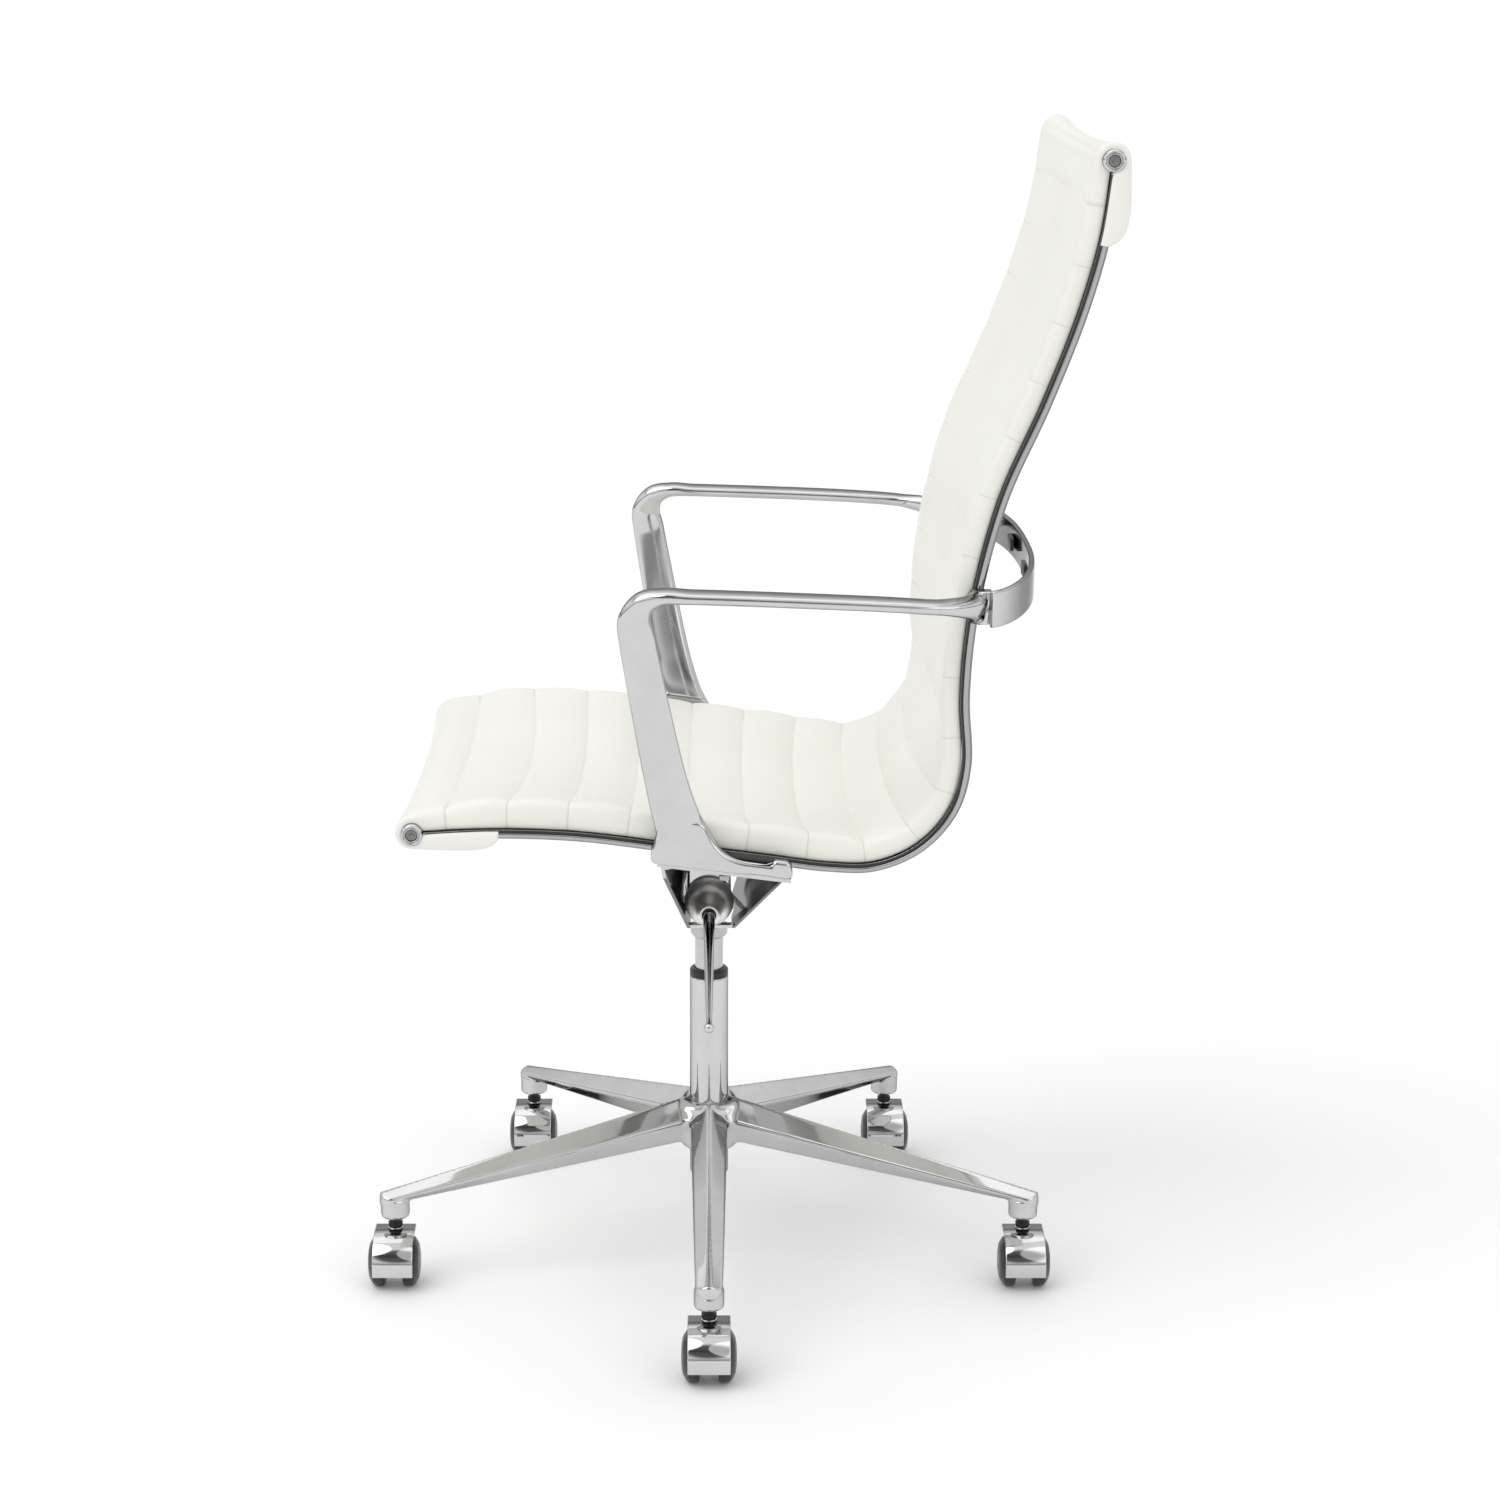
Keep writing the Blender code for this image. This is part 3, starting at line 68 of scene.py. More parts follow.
# The CAD's own sizes, in metres about the column's axis, with the floor at 0.
TUBE_Z = 0.0727
TUBE_R = 0.019
PIVOT_Z = 0.3725
SEAT_Z = 0.4579
RAIL_OUT = 0.2455
RAIL_IN = 0.2285
RAIL_D = 0.009
SLING_HALF = 0.2389
ROLL_R = 0.0165
PAD = 0.0185
BASE_R = 0.322
WHEEL_R = 0.024
WHEEL_W = 0.017
WHEEL_SPACE = 0.017
CASTER_TRAIL = 0.019
HOOD_R = 0.028
HOOD_W = 0.039
HOOD_FRONT = -15
TIP_R = 0.014
SIDES = (("left", 1), ("right", -1))
TURNS = [2 * math.pi * k / 5 for k in range(5)]
RAIL_POINTS = (
    (-0.2690, 0.0292), (-0.2000, 0.0326), (-0.1200, 0.0301), (-0.0400, 0.0203), (0.0500, 0.0090),
    (0.1100, 0.0014), (0.1500, 0.0018), (0.1890, 0.0190), (0.2170, 0.0515), (0.2280, 0.0920),
    (0.2255, 0.1560), (0.2320, 0.2330), (0.2560, 0.3340), (0.2930, 0.4210), (0.3225, 0.5000),
    (0.3400, 0.5650), (0.3490, 0.6301),
)

tube_low, tube_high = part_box("column_tube")
ORIGIN = np.array([(tube_low.x + tube_high.x) / 2, (tube_low.y + tube_high.y) / 2, tube_low.z - TUBE_Z])


# ---------------------------------------------------------------- materials

def put(tree, socket, value):
    """Links another socket to this one, or sets its value."""
    if isinstance(value, bpy.types.NodeSocket):
        tree.links.new(value, socket)
    else:
        socket.default_value = value


class Nodes:
    """A material's node tree, with short calls for the nodes used here."""

    def __init__(self, name):
        self.mat = bpy.data.materials.new(name)
        self.mat.use_nodes = True
        self.tree = self.mat.node_tree
        self.shader = self.tree.nodes["Principled BSDF"]
        self.coords = self.add("ShaderNodeTexCoord").outputs["Object"]

    def add(self, kind, **settings):
        node = self.tree.nodes.new(kind)
        for key, value in settings.items():
            setattr(node, key, value)
        return node

    def put(self, socket, value):
        put(self.tree, socket, value)

    def noise(self, scale, detail=3.0, rough=0.5, coords=None, kind="ShaderNodeTexNoise"):
        node = self.add(kind)
        self.put(node.inputs["Vector"], coords or self.coords)
        node.inputs["Scale"].default_value = scale
        if kind == "ShaderNodeTexNoise":
            node.inputs["Detail"].default_value = detail
            node.inputs["Roughness"].default_value = rough
            return node.outputs["Fac"]
        return node.outputs["Distance"]

    def span(self, value, low, high, from_low=0.0, from_high=1.0):
        node = self.add("ShaderNodeMapRange")
        self.put(node.inputs["Value"], value)
        for key, number in (("From Min", from_low), ("From Max", from_high), ("To Min", low), ("To Max", high)):
            node.inputs[key].default_value = number
        return node.outputs["Result"]

    def mix(self, fac, a, b):
        node = self.add("ShaderNodeMix", data_type="RGBA")
        self.put(node.inputs[0], fac)
        self.put(node.inputs[6], a)
        self.put(node.inputs[7], b)
        return node.outputs[2]

    def maths(self, operation, a, b=0.0):
        node = self.add("ShaderNodeMath", operation=operation)
        self.put(node.inputs[0], a)
        self.put(node.inputs[1], b)
        return node.outputs[0]

    def stretched(self, x, y, z):
        node = self.add("ShaderNodeMapping")
        self.put(node.inputs["Vector"], self.coords)
        node.inputs["Scale"].default_value = (x, y, z)
        return node.outputs["Vector"]

    def bump(self, height, strength, distance, normal=None):
        node = self.add("ShaderNodeBump")
        self.put(node.inputs["Height"], height)
        node.inputs["Strength"].default_value = strength
        node.inputs["Distance"].default_value = distance
        if normal is not None:
            self.put(node.inputs["Normal"], normal)
        return node.outputs["Normal"]

    def finish(self, color, rough, metallic=0.0, normal=None, **fixed):
        self.put(self.shader.inputs["Base Color"], color)
        self.put(self.shader.inputs["Roughness"], rough)
        self.put(self.shader.inputs["Metallic"], metallic)
        if normal is not None:
            self.put(self.shader.inputs["Normal"], normal)
        for key, value in fixed.items():
            self.shader.inputs[key.replace("_", " ")].default_value = value
        return self.mat


def grey(value, warm=0.0):
    return (value * (1 + warm), value, value * (1 - warm), 1.0)


def make_chrome(name, tone, ripple, rim=0.35):
    """Polished chrome: faint smudges in gloss and tone, with a slight long-wave ripple from the polishing."""
    n = Nodes(name)
    smudge = n.noise(22, 4, 0.6)
    fine = n.noise(900, 2)
    color = n.mix(n.span(smudge, 0, 1, 0.35, 0.65), grey(tone), grey(tone * 0.93, -0.006))
    rough = n.maths("ADD", n.span(smudge, 0.035, 0.085, 0.3, 0.7), n.span(fine, 0, 0.02))
    normal = n.bump(n.noise(35, 1), ripple, 0.002)
    return n.finish(color, rough, 1.0, normal, Specular_Tint=grey(rim))


def make_satin(name, tone, warm, low, high, lines):
    """Metal with fine turning marks along one direction and soft stains."""
    n = Nodes(name)
    stain = n.noise(30, 4, 0.6)
    marks = n.noise(1.0, 3, 0.6, n.stretched(*lines))
    color = n.mix(n.span(stain, 0, 1, 0.3, 0.7), grey(tone * 1.08, warm), grey(tone * 0.9, warm))
    rough = n.span(marks, low, high, 0.25, 0.75)
    return n.finish(color, rough, 1.0, n.bump(marks, 0.12, 0.0002))


def make_plastic(name, tone, low, high, grain, depth):
    """Moulded plastic with a fine spark-eroded grain and worn, slightly lighter patches."""
    n = Nodes(name)
    patch = n.noise(60, 4, 0.6)
    pores = n.noise(grain, 2, 0.7)
    color = n.mix(n.span(patch, 0, 1, 0.4, 0.75), grey(tone), grey(tone * 1.9 + 0.004))
    rough = n.maths("ADD", n.span(patch, low, high, 0.3, 0.7), n.span(pores, 0, 0.06))
    return n.finish(color, rough, 0.0, n.bump(pores, 0.25, depth))


def make_grey_ring():
    n = Nodes("grey_enamel")
    speck = n.noise(1500, 2)
    patch = n.noise(40, 3)
    color = n.mix(n.span(patch, 0, 1, 0.3, 0.7), grey(0.60, 0.01), grey(0.50, 0.01))
    return n.finish(color, n.span(speck, 0.34, 0.5), 0.55, n.bump(speck, 0.08, 0.0002))


def make_leather():
    """Off-white leather: pebbled grain, pores, faint folds, tone that drifts, and painted shade that darkens the
    seam grooves.
    """
    n = Nodes("white_leather")
    cells = n.noise(620, kind="ShaderNodeTexVoronoi")
    pores = n.noise(1500, 2, 0.7)
    folds = n.noise(48, 5, 0.62, n.stretched(1.0, 1.6, 1.0))
    drift = n.noise(7, 3, 0.55)
    painted_seam_shade = n.add("ShaderNodeAttribute", attribute_name="painted_seam_shade").outputs["Fac"]
    tone = n.mix(n.span(drift, 0, 1, 0.3, 0.7), (0.838, 0.828, 0.772, 1), (0.812, 0.803, 0.752, 1))
    tone = n.mix(n.span(cells, 0.0, 0.12, 0.2, 0.9), tone, (0.74, 0.73, 0.68, 1))
    # Painted shade: a brownish darkening in the seam grooves, driven by the per-point seam attribute.
    tone = n.mix(n.span(painted_seam_shade, 0.0, 0.60), tone, (0.40, 0.36, 0.29, 1))
    rough = n.maths("ADD", n.span(drift, 0.42, 0.52, 0.3, 0.7), n.span(cells, -0.03, 0.05))
    normal = n.bump(cells, 0.16, 0.0004)
    normal = n.bump(pores, 0.10, 0.0002, normal)
    normal = n.bump(folds, 0.22, 0.0022, normal)
    return n.finish(tone, rough, 0.0, normal, Sheen_Weight=0.08, Sheen_Roughness=0.4, Coat_Weight=0.05,
                    Subsurface_Weight=0.04, Subsurface_Scale=0.004)


def make_floor():
    n = Nodes("pale_floor")
    patch = n.noise(2.5, 3)
    color = n.mix(patch, grey(0.97), grey(0.95))
    return n.finish(color, n.span(patch, 0.55, 0.65), 0.0, Specular_IOR_Level=0.25)


MATS = {
    "chrome": make_chrome("polished_chrome", 0.64, 0.03),
    "chromed_casting": make_chrome("chromed_casting", 0.62, 0.04),
    # Painted shade: the same chrome as the other parts at a darker tone, so the rails read darker.
    "rail_chrome": make_chrome("rail_chrome", 0.44, 0.03),
    "satin_steel": make_satin("satin_steel", 0.60, 0.012, 0.24, 0.40, (900, 60, 60)),
    "cylinder_steel": make_satin("cylinder_steel", 0.54, 0.004, 0.16, 0.28, (70, 70, 1400)),
    # Painted light: a brighter, warmer copy of the satin steel for the pivot covers, which sit in shade.
    "pivot_nickel": make_satin("pivot_nickel", 0.92, 0.024, 0.40, 0.52, (900, 60, 60)),
    "plain_steel": make_satin("plain_steel", 0.42, 0.008, 0.28, 0.42, (300, 300, 300)),
    "cap_steel": make_satin("cap_steel", 0.22, 0.045, 0.30, 0.44, (200, 1200, 1200)),
    "grey_ring": make_grey_ring(),
    "black_plastic": make_plastic("black_plastic", 0.006, 0.30, 0.44, 2200, 0.0002),
    "black_tread": make_plastic("black_nylon", 0.010, 0.20, 0.34, 1400, 0.00015),
    "leather": make_leather(),
    "floor": make_floor(),
}


# ---------------------------------------------------------------- shape helpers

def to_world(points):
    return np.asarray(points, float) + ORIGIN


def piece(name, points, faces, mat, body, stands_for=(), slot=None, sharp=35.0, normals=None):
    """A mesh object from points about the column's axis, riding on a body and standing for CAD nodes."""
    mesh = bpy.data.meshes.new(name)
    mesh.from_pydata([tuple(p) for p in to_world(points)], [], [tuple(f) for f in faces])
    mesh.validate()
    bm = bmesh.new()
    bm.from_mesh(mesh)
    if normals is None:
        bmesh.ops.recalc_face_normals(bm, faces=bm.faces[:])
    bm.to_mesh(mesh)
    bm.free()
    mesh.materials.append(MATS[mat])
    mesh.shade_smooth()
    if normals is None:
        mesh.set_sharp_from_angle(angle=math.radians(sharp))
    else:
        mesh.normals_split_custom_set_from_vertices([tuple(n) for n in normals])
    obj = bpy.data.objects.new(name, mesh)
    bpy.context.scene.collection.objects.link(obj)
    settle(obj, body, stands_for)
    return obj


def settle(obj, body, stands_for=()):
    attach(obj, body)
    if stands_for:
        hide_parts(*stands_for)
    return obj


def loft(rings, closed=False):
    """(points, faces) of a skin over rings of equal count, its ends filled unless it is closed."""
    count = len(rings[0])
    points = [p for ring in rings for p in ring]
    faces = []
    rows = len(rings)
    for r in range(rows if closed else rows - 1):
        a, b = r * count, ((r + 1) % rows) * count
        faces += [(a + i, a + (i + 1) % count, b + (i + 1) % count, b + i) for i in range(count)]
    if not closed:
        faces += [tuple(range(count)), tuple(range((rows - 1) * count, rows * count))]
    return points, faces


def turned(profile, axis="Z", centre=(0, 0, 0), segments=64):
    """(points, faces) of a turned shape. The profile holds (radius, place along the axis), and it is closed if it
    doesn't start at radius 0."""
    points, faces, rows = [], [], []
    for radius, along in profile:
        angles = [0.0] if radius == 0 else [2 * math.pi * i / segments for i in range(segments)]
        row = []
        for a in angles:
            c, s = radius * math.cos(a), radius * math.sin(a)
            local = {"X": (along, c, s), "Y": (c, along, s), "Z": (c, s, along)}[axis]
            row.append(len(points))
            points.append(np.array(centre) + local)
        rows.append(row)
    pairs = list(zip(rows, rows[1:]))
    if len(rows[0]) > 1:
        pairs.append((rows[-1], rows[0]))
    for first, second in pairs:
        for i in range(segments):
            j = (i + 1) % segments
            corners = [row[k % len(row)] for row, k in ((first, i), (first, j), (second, j), (second, i))]
            faces.append(tuple(dict.fromkeys(corners)))
    return points, faces


def softened(profile, radius, steps=4):
    """A profile with its inner corners rounded, for an edge that catches the light."""
    rounded = [profile[0]]
    for before, here, after in zip(profile, profile[1:], profile[2:]):
        before, here, after = (np.array(p, float) for p in (before, here, after))
        into, out = here - before, after - here
        room = min(np.linalg.norm(into), np.linalg.norm(out)) * 0.45
        reach = min(radius, room)
        start = here - into / np.linalg.norm(into) * reach
        end = here + out / np.linalg.norm(out) * reach
        for i in range(steps + 1):
            t = i / steps
            rounded.append(tuple(start * (1 - t) ** 2 + here * 2 * t * (1 - t) + end * t ** 2))
    return [*rounded, profile[-1]]


def lathe(name, profile, edge, mat, body, node, axis="Z", centre=(0, 0, 0), segments=80, steps=4, slot=None,
          sharp=50.0):
    """A turned piece with its edges rounded, which stands for one CAD node or for none."""
    points, faces = turned(softened(profile, edge, steps), axis, centre, segments)
    piece(name, points, faces, mat, body, (node,) if node else (), slot, sharp)


def merged(parts):
    """Several (points, faces) as one."""
    points, faces = [], []
    for p, f in parts:
        base = len(points)
        points += p
        faces += [tuple(i + base for i in face) for face in f]
    return points, faces


def spline(points, per_span):
    """Points on a smooth curve through the given points (centripetal Catmull-Rom)."""
    points = [Vector(p) for p in points]
    points = [2 * points[0] - points[1], *points, 2 * points[-1] - points[-2]]
    curve = []
    for p0, p1, p2, p3 in zip(points, points[1:], points[2:], points[3:]):
        t1 = math.sqrt((p1 - p0).length)
        t2 = t1 + math.sqrt((p2 - p1).length)
        t3 = t2 + math.sqrt((p3 - p2).length)
        for i in range(per_span):
            t = t1 + (t2 - t1) * i / per_span
            a1 = p0 * ((t1 - t) / t1) + p1 * (t / t1)
            a2 = p1 * ((t2 - t) / (t2 - t1)) + p2 * ((t - t1) / (t2 - t1))
            a3 = p2 * ((t3 - t) / (t3 - t2)) + p3 * ((t - t2) / (t3 - t2))
            b1 = a1 * ((t2 - t) / t2) + a2 * (t / t2)
            b2 = a2 * ((t3 - t) / (t3 - t1)) + a3 * ((t - t1) / (t3 - t1))
            curve.append(b1 * ((t2 - t) / (t2 - t1)) + b2 * ((t - t1) / (t2 - t1)))
    return [*curve, points[-2]]


class Rail:
    """The rail curve in side view, read at any length along it."""

    def __init__(self):
        fine = np.array([tuple(p) for p in spline([(y, SEAT_Z + z) for y, z in RAIL_POINTS], 40)])
        self.runs = np.concatenate([[0], np.cumsum(np.linalg.norm(np.diff(fine, axis=0), axis=1))])
        self.fine = fine
        self.length = float(self.runs[-1])

    def point(self, run):
        return np.array([np.interp(run, self.runs, self.fine[:, 0]),
                         np.interp(run, self.runs, self.fine[:, 1])])

    def at(self, run):
        """(point, tangent, normal towards the sitter), carried on straight past both ends."""
        inside = min(max(run, 0.0), self.length)
        ahead = self.point(min(inside + 0.004, self.length)) - self.point(max(inside - 0.004, 0))
        tangent = ahead / np.linalg.norm(ahead)
        return self.point(inside) + tangent * (run - inside), tangent, np.array([-tangent[1], tangent[0]])

    def run_at(self, y=None, z=None):
        """Length along the curve to this Y on the seat, or this Z on the back."""
        half = int(np.argmin(self.fine[:, 1]))
        if z is None:
            return float(np.interp(y, self.fine[: half + 1, 0], self.runs[: half + 1]))
        return float(np.interp(z, self.fine[half:, 1], self.runs[half:]))


RAIL = Rail()


# ---------------------------------------------------------------- smooth fields, for castings

def smooth_min(a, b, k):
    h = np.clip(0.5 + 0.5 * (b - a) / k, 0, 1)
    return b + (a - b) * h - k * h * (1 - h)


def smooth_max(a, b, k):
    return -smooth_min(-a, -b, k)


def rounded_rectangle(a, b, centre, half, radius):
    qa = np.abs(a - centre[0]) - (half[0] - radius)
    qb = np.abs(b - centre[1]) - (half[1] - radius)
    return np.hypot(np.maximum(qa, 0), np.maximum(qb, 0)) + np.minimum(np.maximum(qa, qb), 0) - radius


def rod(p, centre, axis, radius, low, high, edge):
    """A cylinder along X, Y or Z with its edges rounded."""
    k = "XYZ".index(axis)
    others = [i for i in range(3) if i != k]
    radial = np.linalg.norm(p[:, others] - np.array(centre)[others], axis=1) - (radius - edge)
    along = np.abs(p[:, k] - (low + high) / 2) - ((high - low) / 2 - edge)
    q = np.stack([radial, along], axis=1)
    return np.linalg.norm(np.maximum(q, 0), axis=1) + np.minimum(q.max(axis=1), 0) - edge


def gradient(field, p, step=1e-4):
    g = np.stack([field(p + np.eye(3)[i] * step) - field(p - np.eye(3)[i] * step) for i in range(3)], axis=1)
    return g / (2 * step)


def cast(name, source, field, voxel, mat, body, stands_for, slot=None, passes=3):
    """A casting: the source's mesh remeshed evenly, then every point moved onto the field's surface."""
    obj = bpy.data.objects.new(name, source)
    bpy.context.scene.collection.objects.link(obj)
    remesh = obj.modifiers.new("remesh", "REMESH")
    remesh.mode = "VOXEL"
    remesh.voxel_size = voxel
    remesh.adaptivity = 0.0
    bpy.context.view_layer.update()
    mesh = bpy.data.meshes.new_from_object(obj.evaluated_get(bpy.context.evaluated_depsgraph_get()))
    bpy.data.objects.remove(obj, do_unlink=True)
    count = len(mesh.vertices)
    flat = np.empty(count * 3, np.float32)
    mesh.vertices.foreach_get("co", flat)
    points = flat.reshape(-1, 3).astype(float) - ORIGIN
    edges = np.empty(len(mesh.edges) * 2, np.int32)
    mesh.edges.foreach_get("vertices", edges)
    edges = edges.reshape(-1, 2)
    degree = np.bincount(edges.ravel(), minlength=count)[:, None]
    for turn in range(passes):
        for _ in range(4):
            g = gradient(field, points)
            size = np.maximum((g * g).sum(axis=1), 0.05)
            move = (field(points) / size)[:, None] * g
            far = np.linalg.norm(move, axis=1, keepdims=True)
            points -= move * np.minimum(1.0, 0.004 / np.maximum(far, 1e-9))
        if turn < passes - 1:
            total = np.zeros_like(points)
            np.add.at(total, edges[:, 0], points[edges[:, 1]])
            np.add.at(total, edges[:, 1], points[edges[:, 0]])
            mean = total / degree
            normal = gradient(field, points)
            normal /= np.maximum(np.linalg.norm(normal, axis=1, keepdims=True), 1e-9)
            slide = mean - points
            slide -= normal * (slide * normal).sum(axis=1, keepdims=True)
            points += 0.5 * slide
    normal = gradient(field, points, 4e-4)
    normal /= np.maximum(np.linalg.norm(normal, axis=1, keepdims=True), 1e-9)
    faces = [tuple(poly.vertices) for poly in mesh.polygons]
    return piece(name, points, faces, mat, body, stands_for, slot, normals=normal)


# ---------------------------------------------------------------- leather sling

SEAM_PITCH = 0.0545
FIRST_SEAM = 0.028
LAST_SEAM = 0.040
EDGE_ROUND = 0.0095
ROWS_PER_RIB = (0.0, 0.022, 0.06, 0.13, 0.24, 0.37, 0.5, 0.63, 0.76, 0.87, 0.94, 0.978)
ROWS_PER_MARGIN = (0.08, 0.2, 0.4, 0.6, 0.8, 1.0)
ROLL_STEPS = 14
ROLL_INNER_R = 0.006
TOP_FLAP = 0.074
FRONT_FLAP = 0.080
FLAP_COVER = 0.0078
# The top flap's section: (share of its length from the tube, depth behind the rail curve).
FLAP_SECTION = (
    (1.0, 0.0018), (0.985, 0.0075), (0.95, 0.0125), (0.90, 0.0168), (0.84, 0.0196), (0.77, 0.0212),
    (0.68, 0.0219),
    (0.57, 0.0218), (0.45, 0.0209), (0.33, 0.0196), (0.21, 0.0182), (0.10, 0.0171),
)
SEAM_DEPTH = 0.0012
SEAM_LINE = 0.040
SEAM_PINCH = 0.0010
CROWN = 0.0024
SEAT_PLUMP = 0.0085
SAG = 0.015
SAG_SWELL = 0.006
CORNER_CUT = 0.013
DRAW = 0.060
WAIST = 0.40
ACROSS = 30
UNDER_ACROSS = 8
PUFF_FRAMES = 16
PUFF_PRESSURE = 3.2
PUFF_LIMIT = 0.004
BEND = RAIL.run_at(z=SEAT_Z + 0.045)
SEAT_MIDDLE = RAIL.run_at(y=0.0)
SEAT_BACK = RAIL.run_at(y=0.16)


def hold(run):
    """0 at the cross tubes, which hold the leather straight, and 1 away from them."""
    return 1 - math.exp(-(min(run, RAIL.length - run) / 0.045) ** 2)


def sag(run):
    """How far the middle of the sling hangs away from the sitter. It cuts the bend's corner."""
    level = SAG + SAG_SWELL * math.sin(math.pi * min(1.0, run / RAIL.length * 1.2))
    corner = math.exp(-((run - BEND) / 0.075) ** 2)
    return (level * (1 - corner) - CORNER_CUT * corner) * hold(run)


def drawn_in(run):
    """How far the middle is drawn along the sling, towards the seat's middle from the front and the bend."""
    if run < BEND:
        return -DRAW * (run - SEAT_MIDDLE) * hold(run)
    return -DRAW * (BEND - SEAT_MIDDLE) * math.exp(-((run - BEND) / 0.16) ** 2) * hold(run)


def pad_height(run):
    """The leather's height above the rail curve, near its side edges."""
    blend = min(1.0, min(run, RAIL.length - run) / 0.07)
    seat = 1 / (1 + math.exp((run - SEAT_BACK) / 0.02))
    return ROLL_R + (PAD + SEAT_PLUMP * seat - ROLL_R) * blend


def flap(end, length):
    """The stations of a flap, from its edge towards the tube. The front flap is flatter than the top one."""
    rows = []
    for share, depth in FLAP_SECTION:
        run = share * length if end == "front" else RAIL.length - share * length
        point, _, normal = RAIL.at(run)
        depth = depth if end == "top" else depth * 0.78 + 0.002
        rows.append((point - normal * depth, point - normal * 0.0005, run, 1.0, "flap"))
    return rows


def roll(end):
    """The stations round a cross tube, from below it to above it."""
    run = 0.0 if end == "front" else RAIL.length
    point, tangent, normal = RAIL.at(run)
    out = -tangent if end == "front" else tangent
    rows = []
    for i in range(1, ROLL_STEPS):
        angle = math.radians(-90 + 180 * i / ROLL_STEPS)
        direction = out * math.cos(angle) + normal * math.sin(angle)
        rows.append((point + direction * ROLL_R, point + direction * ROLL_INNER_R, run, 1.0, "roll"))
    return rows


def sling_path():
    """Stations from the front flap's edge, round the front tube, along the sling and round the top tube to the top
    flap's edge. Each is (outer point, inner point, run, share of a rib's height, part)."""
    seams = [RAIL.length - LAST_SEAM - SEAM_PITCH * i for i in range(30)]
    seams = sorted(s for s in seams if s > FIRST_SEAM)
    runs = [(seams[0] * (1 - t), min(1.0, t * 1.2)) for t in ROWS_PER_MARGIN[::-1]]
    for a, b in zip(seams, seams[1:]):
        runs += [(a + (b - a) * t, min(t, 1 - t) * 2) for t in ROWS_PER_RIB]
    runs.append((seams[-1], 0.0))
    runs += [(seams[-1] + (RAIL.length - seams[-1]) * t, min(1.0, t * 1.2)) for t in ROWS_PER_MARGIN]
    pad = []
    for run, share in runs:
        point, _, normal = RAIL.at(run)
        pad.append((point + normal * pad_height(run), point + normal * 0.0011, run, share, "pad"))
    return [*flap("front", FRONT_FLAP), *roll("front"), *pad, *roll("top")[::-1], *flap("top", TOP_FLAP)[::-1]]


def rib(share):
    """Height of a rib, from 0 in the seam to 1 in the middle."""
    return (1 - (1 - share) ** 2.6) ** 0.75


def build_sling():
    """The sling's points and faces, with each point's share of the painted seam shade and whether the puff holds it.
    """
    rings, painted_seam_shades, pins = [], [], []
    for outer, inner, run, share, part in sling_path():
        pad = part == "pad"
        depth = np.linalg.norm(outer - inner)
        up = (outer - inner) / depth
        point, tangent, normal = RAIL.at(run)
        hang, pull = sag(run), drawn_in(run)
        # The back's ribs are flatter than the seat's.
        soft = 1.0 - 0.62 / (1 + math.exp((BEND - run) / 0.03))
        crown = soft * (CROWN * rib(share) - SEAM_DEPTH * (1 - rib(share))) if pad else 0.0
        edge_x = SLING_HALF + (FLAP_COVER if part == "flap" else 0.0)
        edge_x -= SEAM_PINCH * soft * (1 - rib(share)) if pad else 0.0
        corner = min(EDGE_ROUND, depth * 0.48)
        low = min(0.0010, depth * 0.2)
        section = [((edge_x - corner) * (-1 + 2 * i / ACROSS), depth, "top") for i in range(ACROSS + 1)]
        right = [(edge_x - corner + corner * math.sin(a), depth - corner + corner * math.cos(a), "edge")
                 for a in (math.radians(d) for d in (15, 30, 45, 60, 75, 90))]
        right += [(edge_x + 0.0006, (depth - corner) * 0.62 + low * 0.38, "side"),
                  (edge_x + 0.0004, (depth - corner) * 0.3 + low * 0.7, "side"),
                  (edge_x - 0.0002, low, "side"), (edge_x - 0.0014, 0.0, "side")]
        section += right
        section += [((edge_x - 0.006) * (1 - 2 * i / UNDER_ACROSS), 0.0,
                     "under") for i in range(UNDER_ACROSS + 1)]
        section += [(-x, n, kind) for x, n, kind in right[::-1]]
        ring = []
        for x, n, kind in section:
            across = min(1.0, abs(x) / SLING_HALF)
            middle = 1 - across ** 2.2
            spot = inner + up * (n + crown * {"top": 1.0, "edge": 0.55}.get(kind, 0.0))
            if pad:
                spot = spot - normal * hang * middle + tangent * pull * middle
            elif kind != "under":
                spot = spot + (point - spot) * (WAIST * middle)
            ring.append((x, spot[0], spot[1]))
            # Painted shade in the seam grooves, stronger towards the side edges and on the seat.
            seam_line = max(0.0, 1 - share / SEAM_LINE) if pad and kind != "under" else 0.0
            near_edge = 0.12 + 0.66 * min(1.0, max(0.0, (across - 0.80) / 0.16))
            painted_seam_shades.append(seam_line * near_edge * 0.8 * (0.6 + 0.4 * soft))
            pins.append(0.0 if pad and kind == "top" and share > 0.12 else 1.0)
        rings.append(ring)
    return *loft(rings), np.array(painted_seam_shades), pins


